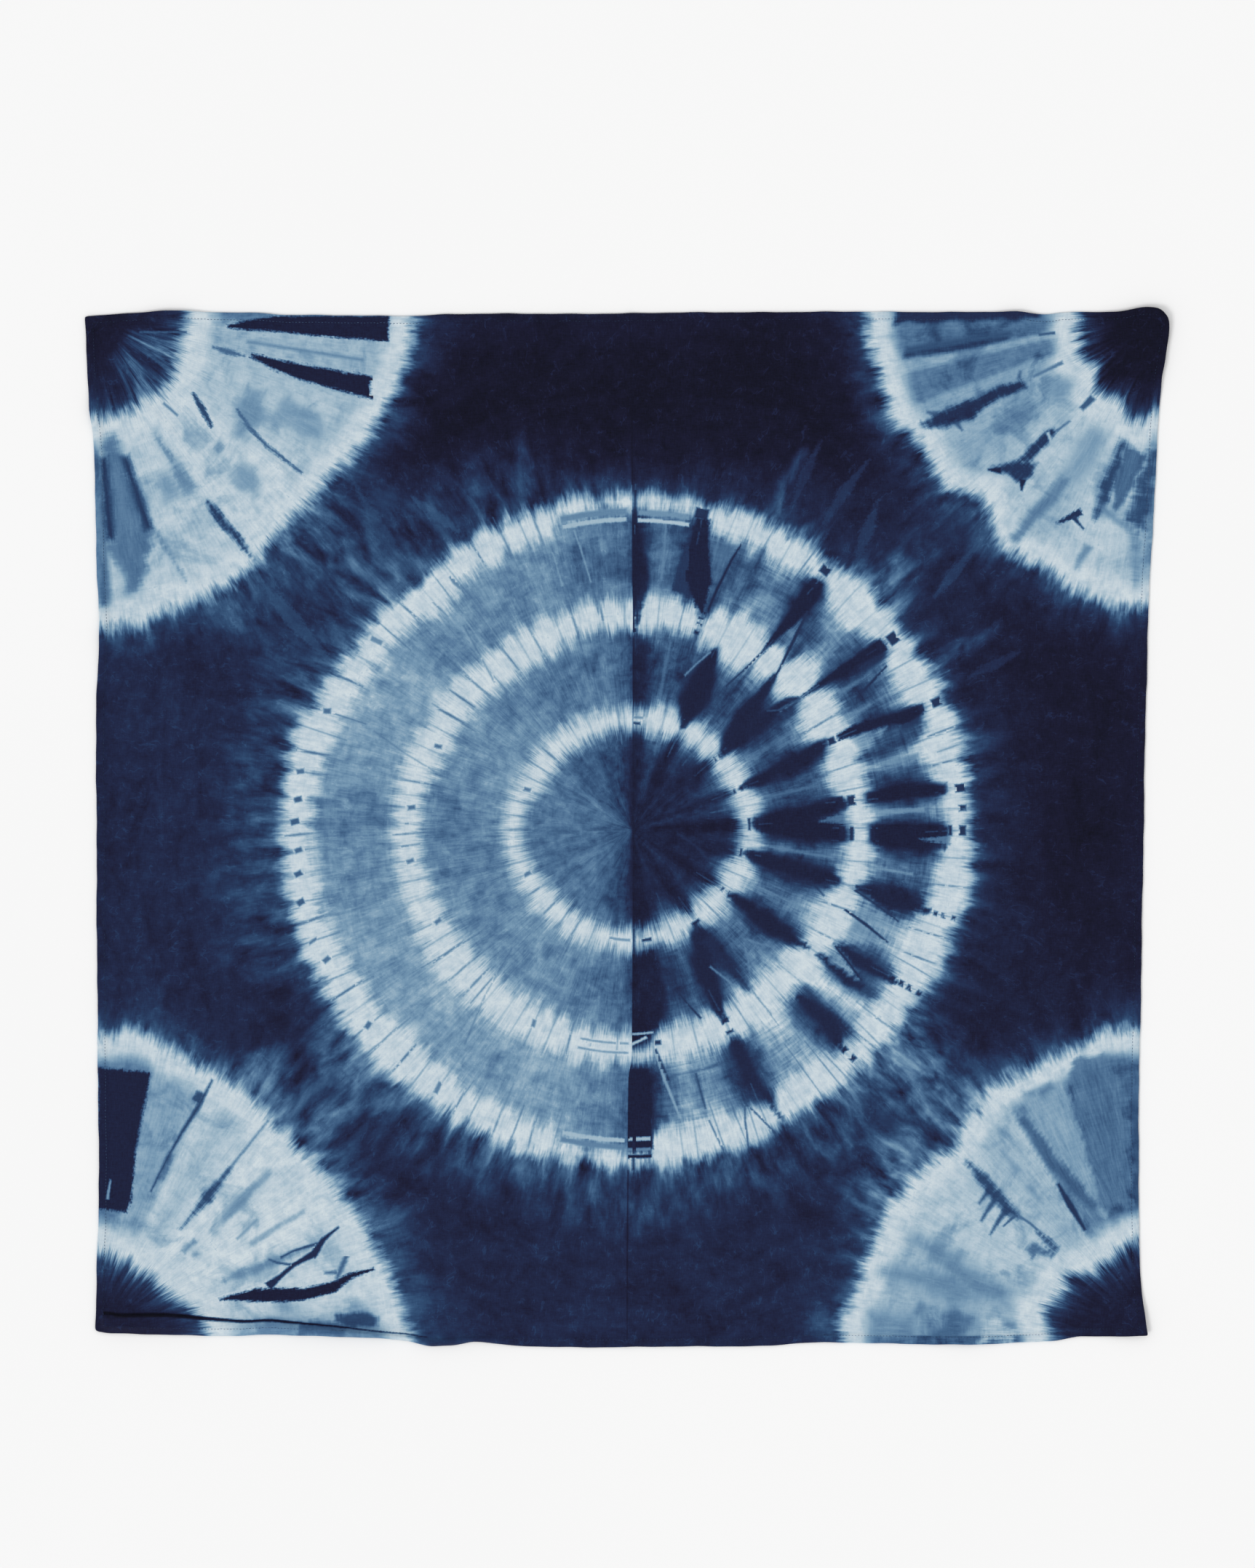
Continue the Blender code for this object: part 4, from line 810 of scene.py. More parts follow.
def read_smooth(table: Sequence[NamedTuple], value: str, at: np.ndarray) -> np.ndarray:
    """Read a column of a table between its stations, on a curve that never overshoots.

    Args:
        table: the table, with its stations in the first column.
        value: the name of the column to read.
        at: where to read it.

    Returns:
        The values there.
    """
    places, values = column(table, value)
    gaps = np.diff(places)
    rises = np.diff(values) / gaps
    slopes = np.zeros_like(values)
    slopes[0], slopes[-1] = rises[0], rises[-1]
    before, after = rises[:-1], rises[1:]
    same_way = before * after > 0.0
    mean = 2.0 * before * after / np.where(same_way, before + after, 1.0)
    slopes[1:-1] = np.where(same_way, mean, 0.0)
    inside = np.clip(at, places[0], places[-1])
    span = np.clip(np.searchsorted(places, inside, side="right") - 1, 0, len(gaps) - 1)
    share = (inside - places[span]) / gaps[span]
    start, end = values[span], values[span + 1]
    lean_in, lean_out = slopes[span] * gaps[span], slopes[span + 1] * gaps[span]
    rest = 1.0 - share
    return (
        start * rest * rest * (1.0 + 2.0 * share)
        + end * share * share * (3.0 - 2.0 * share)
        + lean_in * share * rest * rest
        - lean_out * share * share * rest
    )


def soft_step(value: np.ndarray, low: float | np.ndarray, high: float | np.ndarray) -> np.ndarray:
    """Return 0 below low, 1 above high and a smooth change between."""
    share = np.clip((value - low) / (high - low), 0.0, 1.0)
    return share * share * (3.0 - 2.0 * share)


def waves(table: Sequence[Wave], at: np.ndarray) -> np.ndarray:
    """Return the sum of a table's sine waves."""
    return sum(np.sin(at / wave.length + wave.phase) * wave.size for wave in table)


@dataclass(frozen=True)
class Lie:
    """How the cloth lies: its outline, its folds and its thickness, all in millimetres."""

    cloth_thickness: float = 0.8
    hem_thickness: float = 1.6
    hem_edge_thickness: float = 1.1
    hem_width: float = 7.0
    hem_step: float = 1.0
    stitch_inset: float = 6.3
    stitch_groove: float = 0.3
    groove_width: float = 0.8
    pucker_height: float = 0.11
    pucker_width: float = 4.5
    wobble: float = 0.35
    wobble_reach: tuple[float, float] = (2.0, 16.0)
    ruck_foot: float = 0.12
    crease_bend: float = 2.5
    placing_rounds: int = 4

    def place(self, across: np.ndarray, up: np.ndarray) -> tuple[np.ndarray, np.ndarray]:
        """Find places on the cloth from their shares of its width and height.

        Args:
            across: -1 at the left edge, 0 at the fold and 1 at the right edge.
            up: 0 at the lower edge and 1 at the upper one.

        Returns:
            x and y of each place.
        """
        x = across * 450.0
        y = (up - 0.5) * WHOLE_HEIGHT
        for _ in range(self.placing_rounds):
            fold = read_smooth(FOLD, "x", y)
            left = -read_smooth(LEFT_EDGE, "out", y)
            right = read_smooth(RIGHT_EDGE, "out", y)
            x = np.where(across < 0.0, fold + across * (fold - left), fold + across * (right - fold))
            lower = -read_smooth(LOWER_EDGE, "out", x)
            upper = read_smooth(UPPER_EDGE, "out", x)
            y = lower + up * (upper - lower)
        for corner in ROUNDINGS:
            x, y = self.round_corner(x, y, corner)
        return self.waver(x, y)

    def round_corner(self, x: np.ndarray, y: np.ndarray, corner: Rounding) -> tuple[np.ndarray, np.ndarray]:
        """Draw places near one corner in, so that the corner is a round one.

        Args:
            x: the places' x.
            y: the places' y.
            corner: which corner, and its radius.

        Returns:
            The new x and y.
        """
        upright = RIGHT_EDGE if corner.side_x > 0 else LEFT_EDGE
        level = UPPER_EDGE if corner.side_y > 0 else LOWER_EDGE
        centre_x = corner.side_x * (read_smooth(upright, "out", y) - corner.radius)
        centre_y = corner.side_y * (read_smooth(level, "out", x) - corner.radius)
        over = (x - centre_x) * corner.side_x
        along = (y - centre_y) * corner.side_y
        beyond = (over > 0.0) & (along > 0.0)
        reach = np.hypot(over, along)
        keep = np.where(beyond, np.maximum(over, along) / np.maximum(reach, 1e-6), 1.0)
        return (
            np.where(beyond, centre_x + (x - centre_x) * keep, x),
            np.where(beyond, centre_y + (y - centre_y) * keep, y),
        )

    def waver(self, x: np.ndarray, y: np.ndarray) -> tuple[np.ndarray, np.ndarray]:
        """Shift places near the edge a little, as a hand-turned hem wavers."""
        hold = 1.0 - soft_step(self.inset(x, y), *self.wobble_reach)
        return x + waves(WAVER_X, y) * self.wobble * hold, y + waves(WAVER_Y, x) * self.wobble * hold

    def inset(self, x: np.ndarray, y: np.ndarray) -> np.ndarray:
        """Return how far in from the nearest edge places lie."""
        from_left = x + read_smooth(LEFT_EDGE, "out", y)
        from_right = read_smooth(RIGHT_EDGE, "out", y) - x
        from_lower = y + read_smooth(LOWER_EDGE, "out", x)
        from_upper = read_smooth(UPPER_EDGE, "out", x) - y
        return np.maximum(0.0, np.minimum.reduce([from_left, from_right, from_lower, from_upper]))

    def fold_height(self, x: np.ndarray, y: np.ndarray) -> np.ndarray:
        """Return the height of the pinched middle fold."""
        offset = np.abs(x - read_smooth(FOLD, "x", y)) / read_smooth(FOLD, "half_width", y)
        return read_smooth(FOLD, "height", y) * np.maximum(0.0, 1.0 - offset) ** 2

    def ruck_height(self, x: np.ndarray, y: np.ndarray) -> np.ndarray:
        """Return the height of the ruck beside the lower left hem."""
        inset = y + read_smooth(LOWER_EDGE, "out", x)
        lip = read_smooth(RUCK, "lip", x)
        slot = read_smooth(RUCK, "foot", x) - lip
        rise = self.ruck_foot + (1.0 - self.ruck_foot) * soft_step(inset, 0.0 * lip, 0.6 * lip)
        crest = rise - self.ruck_foot * soft_step(inset, 0.6 * lip, lip)
        fall = 1.0 - soft_step(inset, lip, lip + 0.3 * slot)
        return read_smooth(RUCK, "height", x) * crest * fall

    def lift_height(self, x: np.ndarray, y: np.ndarray) -> np.ndarray:
        """Return the height of the hem's soft waves."""
        total = np.zeros_like(x)
        for lift in LIFTS:
            reach = ((x - lift.x) / lift.reach_x) ** 2 + ((y - lift.y) / lift.reach_y) ** 2
            total += lift.height * np.maximum(0.0, 1.0 - reach) ** 2
        return total

    def crease_height(self, x: np.ndarray, y: np.ndarray) -> np.ndarray:
        """Return the height of the soft creases, and of the faint waves of cloth that was ironed."""
        total = 0.12 * np.sin(x / 31.0 + y / 57.0) * np.sin(y / 43.0 + 1.3)
        total += 0.1 * np.sin(x / 17.0 - y / 23.0)
        for ridge in RIDGES:
            along_x, along_y = ridge.x1 - ridge.x0, ridge.y1 - ridge.y0
            length = math.hypot(along_x, along_y)
            along = ((x - ridge.x0) * along_x + (y - ridge.y0) * along_y) / length
            bend = self.crease_bend * np.sin(along / length * 5.0)
            off = ((x - ridge.x0) * along_y - (y - ridge.y0) * along_x) / length + bend
            ends = soft_step(along, -6.0, 0.2 * length) * (1.0 - soft_step(along, 0.8 * length, length + 6.0))
            total += ridge.height * ends * np.maximum(0.0, 1.0 - np.abs(off) / ridge.half_width) ** 2
        return total

    def hem_relief(self, x: np.ndarray, y: np.ndarray) -> np.ndarray:
        """Return the groove that the stitching pulls, and the puckers on both sides of it."""
        off_stitch = self.inset(x, y) - self.stitch_inset
        groove = -self.stitch_groove * np.exp(-((off_stitch / self.groove_width) ** 2))
        along = np.where(np.abs(x) / 455.0 > np.abs(y) / 437.0, y, x)
        near = np.exp(-((off_stitch / self.pucker_width) ** 2))
        return groove + self.pucker_height * waves(PUCKERS, along) * near

    def top(self, x: np.ndarray, y: np.ndarray) -> np.ndarray:
        """Return how high the face that shows stands over the surface that the cloth lies on."""
        inset = self.inset(x, y)
        edge = (0.0, 1.0, self.hem_width, self.hem_width + self.hem_step)
        depths = (self.hem_edge_thickness, self.hem_thickness, self.hem_thickness, self.cloth_thickness)
        thickness = np.interp(inset, edge, depths)
        held = soft_step(inset, 0.0, 6.0)
        folds = self.fold_height(x, y) + self.ruck_height(x, y) + self.lift_height(x, y)
        return folds + thickness + self.crease_height(x, y) * held + self.hem_relief(x, y)

    def under(self, x: np.ndarray, y: np.ndarray) -> np.ndarray:
        """Return the height of the underside, which is flat but for the hem's lifted places."""
        near_edge = 1.0 - soft_step(self.inset(x, y), 1.5, 3.0)
        return self.lift_height(x, y) + self.ruck_height(x, y) * near_edge


class Stretch(NamedTuple):
    """One straight stretch of a mark's path, with half widths at its ends, and the mark's dye."""

    x0: float
    y0: float
    half0: float
    x1: float
    y1: float
    half1: float
    first: float
    last: float
    tone: float
    soft: float
    strength: float
    side: int

    def near(self, x: np.ndarray, y: np.ndarray, side: np.ndarray, margin: float) -> np.ndarray:
        """Pick the places that the mark may touch, all on its own half of the cloth.

        Args:
            x: the places' x.
            y: the places' y.
            side: which half of the cloth each place is on, -1 or 1.
            margin: how far past the mark's own softness to look.

        Returns:
            Whether each place is one of them.
        """
        reach = max(self.half0, self.half1) + 3.0 * self.soft + margin
        near = (x > min(self.x0, self.x1) - reach) & (x < max(self.x0, self.x1) + reach)
        near &= (y > min(self.y0, self.y1) - reach) & (y < max(self.y0, self.y1) + reach)
        return near & (side == self.side) if self.side else near

    def measure(self, x: np.ndarray, y: np.ndarray) -> tuple[np.ndarray, np.ndarray, np.ndarray]:
        """Measure places against the stretch.

        Args:
            x: the places' x.
            y: the places' y.

        Returns:
            How deep inside its sides they are, how far along it, and its half width beside them.
        """
        run_x, run_y = self.x1 - self.x0, self.y1 - self.y0
        away_x, away_y = x - self.x0, y - self.y0
        length = np.hypot(run_x, run_y)
        along = (away_x * run_x + away_y * run_y) / length
        share = np.clip(along / length, 0.0, 1.0)
        half = self.half0 + (self.half1 - self.half0) * share
        return half - np.hypot(away_x - share * run_x, away_y - share * run_y), along, half

    def inside_ends(self, along: np.ndarray) -> np.ndarray:
        """Return how far inside the mark's two ends places lie that are so far along the stretch."""
        length = np.hypot(self.x1 - self.x0, self.y1 - self.y0)
        from_start = np.where(self.first, along, along + FAR)
        return np.minimum(from_start, np.where(self.last, length - along, length - along + FAR))


def stretches_of(home: Home, trails: Sequence[Trail]) -> list[Stretch]:
    """Cut trails into straight stretches.

    Args:
        home: where the trails' points are measured from.
        trails: the marks.

    Returns:
        The stretches, in the cloth's frame.
    """
    stretches = []
    for trail in trails:
        places = spread(home, trail.points)
        side = half_of(trail.points) if home is Home.RINGS else 0
        for index, (start, end) in enumerate(zip(places[:-1], places[1:])):
            ends = (index == 0, index == len(places) - 2)
            stretches.append(Stretch(*start, *end, *ends, trail.tone, trail.soft, trail.strength, side))
    return stretches


def half_of(points: Sequence[tuple[float, float, float]]) -> int:
    """Return which half of the cloth a mark of the rings belongs to, -1 or 1."""
    lean = math.cos(math.radians(points[0][0]))
    if abs(lean) < UPRIGHT_COSINE:
        return 1 if points[-1][0] <= 90.0 else -1
    return 1 if lean > 0.0 else -1


def spread(home: Home, points: Sequence[tuple[float, float, float]]) -> list[tuple[float, float, float]]:
    """Turn a trail's points into x, y and half width, with added points on long arcs.

    Args:
        home: where the points are measured from.
        points: the trail's points.

    Returns:
        The path's x, y and half width.
    """
    if home is Home.FLAT:
        return list(points)
    path = []
    for start, end in zip(points[:-1], points[1:]):
        steps = max(1, math.ceil(abs(end[0] - start[0]) / ARC_STEP))
        for step in range(steps):
            path.append(tuple(low + (high - low) * (step / steps) for low, high in zip(start, end)))
    centre_x, centre_y = home.value
    turned = [(math.radians(angle), radius, half) for angle, radius, half in (*path, points[-1])]
    return [(centre_x + radius * math.cos(turn), centre_y + radius * math.sin(turn), half)
            for turn, radius, half in turned]


@dataclass
class MarkLayer:
    """A layer of crisp marks, given to the cloth as numbers on the corners of its faces.

    Each face belongs to the one stretch of a mark that it is deepest in, and its corners hold
    how far they lie off that stretch's line, so that a line finer than the mesh stays exact.
    """

    name: str
    stretches: list[Stretch] = field(default_factory=list)
    shallowest: float = -4.0

    def add(self, home: Home, trails: Sequence[Trail]) -> None:
        """Add trails that are measured from one home."""
        self.stretches.extend(stretches_of(home, trails))

    def measure(
        self, centres: np.ndarray, corners: np.ndarray, sides: np.ndarray
    ) -> tuple[np.ndarray, np.ndarray]:
        """Work out the layer's two attributes.

        Args:
            centres: each face's middle, as x and y.
            corners: each face's four corners, as x and y.
            sides: which half of the cloth each face is on, -1 or 1.

        Returns:
            The place attribute (offset, half width, distance inside the ends) and the dye
            attribute (tone, softness, strength), for each corner of each face.
        """
        winner = np.full(len(centres), -1)
        deepest = np.full(len(centres), self.shallowest)
        for number, stretch in enumerate(self.stretches):
            chosen = np.nonzero(stretch.near(centres[:, 0], centres[:, 1], sides, 5.0))[0]
            depth = stretch.measure(centres[chosen, 0], centres[chosen, 1])[0] / (stretch.soft + 2.0)
            better = depth > deepest[chosen]
            winner[chosen[better]] = number
            deepest[chosen[better]] = depth[better]
        place = np.tile((FAR, 0.0, -FAR), (len(centres), 4, 1))
        dye = np.tile((0.0, 1.0, 0.0), (len(centres), 4, 1))
        marked = np.nonzero(winner >= 0)[0]
        won = Stretch(*np.moveaxis(np.array(self.stretches)[winner[marked]][:, None, :], -1, 0))
        x, y = corners[marked, :, 0], corners[marked, :, 1]
        run_x, run_y = won.x1 - won.x0, won.y1 - won.y0
        offset = ((x - won.x0) * run_y - (y - won.y0) * run_x) / np.hypot(run_x, run_y)
        _, along, half = won.measure(x, y)
        place[marked] = np.stack([offset, half, np.minimum(won.inside_ends(along), FAR)], axis=-1)
        dye[marked] = np.stack([won.tone, won.soft, won.strength], axis=-1)
        return place, dye


@dataclass(frozen=True)
class Ring:
    """One undyed ring, whose two halves were folded and bound apart."""

    right: tuple[BandPoint, ...]
    left: tuple[BandPoint, ...]
    right_notches: tuple[float, ...]
    left_notches: tuple[float, ...]
    radius: float
    pinch_share: float = 0.3
    deepest_pinch: float = 7.0

    def edges(self, angle: np.ndarray, side: Side) -> tuple[np.ndarray, np.ndarray]:
        """Return the ring's inner and outer edge, scalloped between its pleats.

        Args:
            angle: the places' angles about the rings' middle.
            side: which half of the cloth they are on.

        Returns:
            The inner and the outer radius at each angle.
        """
        right = side is Side.RIGHT
        table = self.right if right else self.left
        marks = np.array(self.right_notches if right else self.left_notches, dtype=float)
        inner, outer = read_straight(table, "inner", angle), read_straight(table, "outer", angle)
        span = np.clip(np.searchsorted(marks, angle, side="right") - 1, 0, len(marks) - 2)
        width = marks[span + 1] - marks[span]
        off_middle = np.abs(2.0 * (angle - marks[span]) / width - 1.0)
        depth = np.minimum(self.deepest_pinch, self.pinch_share * np.radians(width) * self.radius)
        pinch = depth * (np.minimum(off_middle, 1.0) ** 2.5 - 0.25) * (0.5 if right else 1.0)
        return inner + pinch, outer - pinch

    def fades(self, angle: np.ndarray, side: Side) -> tuple[np.ndarray, np.ndarray]:
        """Return how far the ring's paleness fades inwards and outwards at each angle."""
        table = self.right if side is Side.RIGHT else self.left
        return read_straight(table, "inner_fade", angle), read_straight(table, "outer_fade", angle)


@dataclass
class Dye:
    """The indigo dye's pattern: three tied rings in the middle and a tied fan in each corner, with painted
    shade beside and along the middle fold and a painted shadow in the slot behind the ruck.
    """

    rings: tuple[Ring, ...] = (
        Ring(INNER_RING_RIGHT, INNER_RING_LEFT, INNER_NOTCHES_RIGHT, INNER_NOTCHES_LEFT, 97.0),
        Ring(MIDDLE_RING_RIGHT, MIDDLE_RING_LEFT, MIDDLE_NOTCHES_RIGHT, MIDDLE_NOTCHES_LEFT, 186.0),
        Ring(OUTER_RING_RIGHT, OUTER_RING_LEFT, OUTER_NOTCHES_RIGHT, OUTER_NOTCHES_LEFT, 277.0),
    )
    zones_right: tuple[tuple[Tone, ...], ...] = (DISC_RIGHT, MIDDLE_ZONE_RIGHT, OUTER_ZONE_RIGHT)
    zones_left: tuple[tuple[Tone, ...], ...] = (DISC_LEFT, MIDDLE_ZONE_LEFT, OUTER_ZONE_LEFT)
    zone_steps: tuple[tuple[float, float], ...] = ((92.0, 98.0), (182.0, 190.0), (272.0, 280.0))
    fans: tuple[tuple[Home, FanTable], ...] = (
        (Home.TOP_LEFT, TOP_LEFT_FAN),
        (Home.TOP_RIGHT, TOP_RIGHT_FAN),
        (Home.LOWER_RIGHT, LOWER_RIGHT_FAN),
        (Home.LOWER_LEFT, LOWER_LEFT_FAN),
    )
    right_tail: float = 0.4
    left_tail: float = 0.14
    outer_tail: float = 0.4
    wide_tail: float = 0.1
    wide_fade: float = 34.0
    # The next three: painted shade on the left half beside the middle fold, its depth, the fold's x and how
    # fast it fades.
    painted_fold_shade: float = 0.22
    fold_edge: float = 5.0
    fold_fade: float = 14.0
    fan_reach: float = 330.0
    fan_tails: tuple[float, float] = (0.34, 0.3)
    fan_fades: tuple[float, float] = (12.0, 16.0)
    fan_rims: tuple[float, float] = (16.0, 14.0)
    ring_white: float = 0.94
    fan_white: float = 0.93
    ground: float = 0.0
    ground_start: tuple[float, float] = (272.0, 300.0)
    softest_crisp: float = 1.9
    seed: int = 5

    def layers(self) -> tuple[MarkLayer, MarkLayer]:
        """Return the broad marks and the fine ones over them."""
        blocks, lines = MarkLayer("block"), MarkLayer("line")
        for home, trails in self.broad_marks():
            blocks.add(home, [trail for trail in trails if trail.soft < self.softest_crisp])
        lines.add(Home.RINGS, list(self.pleats()))
        lines.add(Home.RINGS, RING_LINES)
        # These lines include painted shadow: the middle fold's crease and the slot behind the ruck.
        lines.add(Home.FLAT, [*FLAT_LINES, self.slot_shadow()])
        for home, fan in self.fans:
            lines.add(home, fan.lines)
        for crossing in CROSSINGS:
            lines.add(Home.RINGS, list(self.bars(crossing)))
        lines.add(Home.RINGS, [self.knot(knot) for knot in KNOTS])
        return blocks, lines

    def broad_marks(self) -> list[tuple[Home, tuple[Trail, ...]]]:
        """Return the tables of broad marks with their homes, in the order they are laid."""
        in_fans = [(home, fan.blocks) for home, fan in self.fans]
        return [(Home.RINGS, RING_BLOCKS), (Home.FLAT, FLAT_BLOCKS), *in_fans]

    def smudges(self) -> Iterator[Stretch]:
        """Yield the stretches of the marks whose edges are soft enough for the cloth's grid to carry."""
        for home, trails in self.broad_marks():
            yield from stretches_of(home, [trail for trail in trails if trail.soft >= self.softest_crisp])

    def lay_smudges(self, x: np.ndarray, y: np.ndarray, side: np.ndarray) -> tuple[np.ndarray, np.ndarray]:
        """Work out how the soft marks cover places.

        Args:
            x: the places' x.
            y: the places' y.
            side: which half of the cloth each place is on, -1 or 1.

        Returns:
            The marks' tone and how strongly they cover, from 0 to 1.
        """
        tone, cover = np.zeros(len(x)), np.zeros(len(x))
        shake_x = 1.3 * np.sin(y / 5.1 + 0.3 * np.sin(x / 7.0)) + 0.8 * np.sin(y / 2.7 + x / 9.0)
        shake_y = 1.3 * np.sin(x / 5.7 + 0.4 * np.sin(y / 6.0)) + 0.8 * np.sin(x / 3.1 - y / 8.0)
        for stretch in self.smudges():
            soft, in_rings = stretch.soft, stretch.side != 0
            near = stretch.near(x, y, side, 3.0)
            shake = min(1.6, soft / 2.0, max(stretch.half0, stretch.half1) / 9.0)
            low, high = -2.0 * soft, 1.6 * soft
            if in_rings:
                shake = min(1.0, soft / 5.0)
            at_x, at_y = x[near] + shake * shake_x[near], y[near] + shake * shake_y[near]
            depth, along, half = stretch.measure(at_x, at_y)
            if in_rings:
                low, high = np.maximum(low, -0.7 * half - 1.5), np.minimum(high, 0.8 * half + 0.3)
            depth = np.minimum(depth, stretch.inside_ends(along))
            new = soft_step(depth, low, high) * stretch.strength
            mixed = (new > cover[near] * 0.999) | (new > 0.5)
            weight = new / np.maximum(new + cover[near] * (1.0 - new), 1e-6)
            tone[near] = np.where(mixed, tone[near] + (stretch.tone - tone[near]) * weight, tone[near])
            cover[near] = np.maximum(cover[near], new)
        return tone, cover

    def bars(self, crossing: Crossing) -> Iterator[Trail]:
        """Yield the dark bars that the binding left across a pleat."""
        for radius, half_depth in crossing.bars:
            reach = math.degrees(crossing.half_width / radius)
            start, end = crossing.angle - reach, crossing.angle + reach
            yield Trail(0.05, 1.3, ((start, radius, half_depth), (end, radius, half_depth)), 0.92)

    def knot(self, knot: Knot) -> Trail:
        """Return a knot's mark, which tapers to its ends where it is long."""
        end_half = knot.half_width * (1.0 if knot.end - knot.start < 12.0 else 0.3)
        middle_half = knot.half_width * (1.0 if end_half > 1.0 else 0.8)
        points = (
            (knot.angle - 0.2, knot.start, end_half),
            (knot.angle, (knot.start + knot.end) / 2.0, middle_half),
            (knot.angle + 0.2, knot.end, end_half),
        )
        return Trail(knot.tone, 1.2, points, 0.9)

    def pleats(self) -> Iterator[Trail]:
        """Yield a faint line across each ring wherever one pleat lay on the next."""
        chance = np.random.default_rng(self.seed)
        least, most = (-0.4, 0.3, 0.25, 7.0, 4.0), (0.4, 0.5, 0.8, 26.0, 16.0)
        for ring in self.rings:
            for side, notches in ((Side.RIGHT, ring.right_notches), (Side.LEFT, ring.left_notches)):
                for angle in notches[1:-1]:
                    inner, outer = ring.edges(np.array([angle + 0.01]), side)
                    lean, tone, strength, before, after = chance.uniform(least, most)
                    low, high = float(inner[0]) - before, float(outer[0]) + after
                    middle = (angle, (low + high) / 2.0, 0.5)
                    points = ((angle - lean, low, 0.2), middle, (angle + lean, high, 0.2))
                    yield Trail(float(tone), 1.1, points, float(strength))

    def slot_shadow(self) -> Trail:
        """Return the deep line behind the ruck, where no light or dye colour shows."""
        x = np.arange(-446.0, -165.0, 6.0)
        lip, foot = read_smooth(RUCK, "lip", x), read_smooth(RUCK, "foot", x)
        y = (lip + foot) / 2.0 - read_smooth(LOWER_EDGE, "out", x)
        half = 0.25 + 1.2 * soft_step(-x, 150.0, 400.0)
        return Trail(-0.09, 0.8, tuple(zip(x.tolist(), y.tolist(), half.tolist())), 0.9)

    def fields(self, x: np.ndarray, y: np.ndarray, side: np.ndarray) -> dict[str, np.ndarray]:
        """Work out the dye's soft fields.

        Args:
            x: the places' x.
            y: the places' y.
            side: which half of the cloth each place is on, -1 or 1.

        Returns:
            band (mm inside the nearest undyed band), pale (the tone in that band), ground
            (the tone outside it) and glow (how much paler streaks make the ground).
        """
        centre_x, centre_y = Home.RINGS.value
        radius = np.hypot(x - centre_x, y - centre_y)
        angle = np.degrees(np.arctan2(y - centre_y, x - centre_x))
        band, ground, glow = np.zeros(len(x)), np.zeros(len(x)), np.zeros(len(x))
        for half in Side:
            mine = side == half.value
            turn = np.where((half is Side.LEFT) & (angle < 0.0), angle + 360.0, angle)[mine]
            band[mine], ground[mine], glow[mine] = self.ring_fields(half, turn, radius[mine], x[mine])
        pale = np.full(len(x), self.ring_white)
        for home, fan in self.fans:
            near, depth, tone, halo = self.fan_fields(home, fan, x, y)
            band = np.where(near, np.maximum(band, depth), band)
            pale = np.where(near, tone, pale)
            glow += near * halo
        outside = soft_step(radius, *self.ground_start)
        for trail in GROUND_TONES:
            ground += (trail.tone - ground) * self.smudge(trail, x, y) * outside
        for trail in GROUND_GLOWS:
            glow += trail.tone * self.smudge(trail, x, y) * outside
        return {"band": band, "pale": pale, "ground": ground, "glow": glow}

    def ring_fields(
        self, half: Side, turn: np.ndarray, out: np.ndarray, x: np.ndarray
    ) -> tuple[np.ndarray, np.ndarray, np.ndarray]:
        """Work out the rings' fields in one half of the cloth.

        Args:
            half: which half.
            turn: the places' angles about the rings' middle.
            out: their distances from it.
            x: their x.

        Returns:
            The band, the ground and the glow.
        """
        left = half is Side.LEFT
        tail, zones = (self.left_tail, self.zones_left) if left else (self.right_tail, self.zones_right)
        tone = np.full(len(out), self.ground)
        for (low, high), zone in reversed(list(zip(self.zone_steps, zones))):
            tone += (read_straight(zone, "tone", turn) - tone) * (1.0 - soft_step(out, low, high))
        # On the left half, painted shade darkens the tone towards the middle fold's crease.
        if left:
            tone -= self.painted_fold_shade * np.exp((x - self.fold_edge) / self.fold_fade) * (tone > 0.1)
        band, glow = np.full(len(out), -FAR), np.zeros(len(out))
        for ring in self.rings:
            inner, outer = ring.edges(turn, half)
            band = np.maximum(band, np.minimum(out - inner, outer - out))
            fade_in, fade_out = ring.fades(turn, half)
            past = out > (inner + outer) / 2.0
            beyond, short = np.maximum(0.0, out - outer), np.maximum(0.0, inner - out)
            if ring is self.rings[-1]:
                glow += self.outer_tail * np.exp(-beyond / fade_out) * past
                glow += self.wide_tail * np.exp(-beyond / self.wide_fade) * past
            else:
                glow += tail * np.exp(-beyond / fade_out) * past
            glow += tail * np.exp(-short / fade_in) * ~past
        return band, tone, glow

    def fan_fields(
        self, home: Home, fan: FanTable, x: np.ndarray, y: np.ndarray
    ) -> tuple[np.ndarray, np.ndarray, np.ndarray, np.ndarray]:
        """Work out one fan's fields.

        Args:
            home: the fan's corner.
            fan: its table.
            x: the places' x.
            y: the places' y.

        Returns:
            Which places are in its reach, and the band, the pale tone and the glow there.
        """
        home_x, home_y = home.value
        reach = np.hypot(x - home_x, y - home_y)
        turn = np.degrees(np.arctan2(y - home_y, x - home_x))
        if home is Home.TOP_RIGHT:
            turn = np.where(turn < 0.0, turn + 360.0, turn)
        inner, outer = read_smooth(fan.edges, "inner", turn), read_smooth(fan.edges, "outer", turn)
        panel = read_straight(fan.panels, "tone", turn)
        in_panel = np.minimum(reach - inner - self.fan_rims[0], outer - reach - self.fan_rims[1])
        tone = self.fan_white + (panel - self.fan_white) * soft_step(in_panel, 0.0, 16.0)
        near_glow = self.fan_tails[0] * np.exp(-np.maximum(0.0, inner - reach) / self.fan_fades[0])
        far_glow = self.fan_tails[1] * np.exp(-np.maximum(0.0, reach - outer) / self.fan_fades[1])
        glow = np.where(reach > (inner + outer) / 2.0, far_glow, near_glow)
        return reach < self.fan_reach, np.minimum(reach - inner, outer - reach), tone, glow

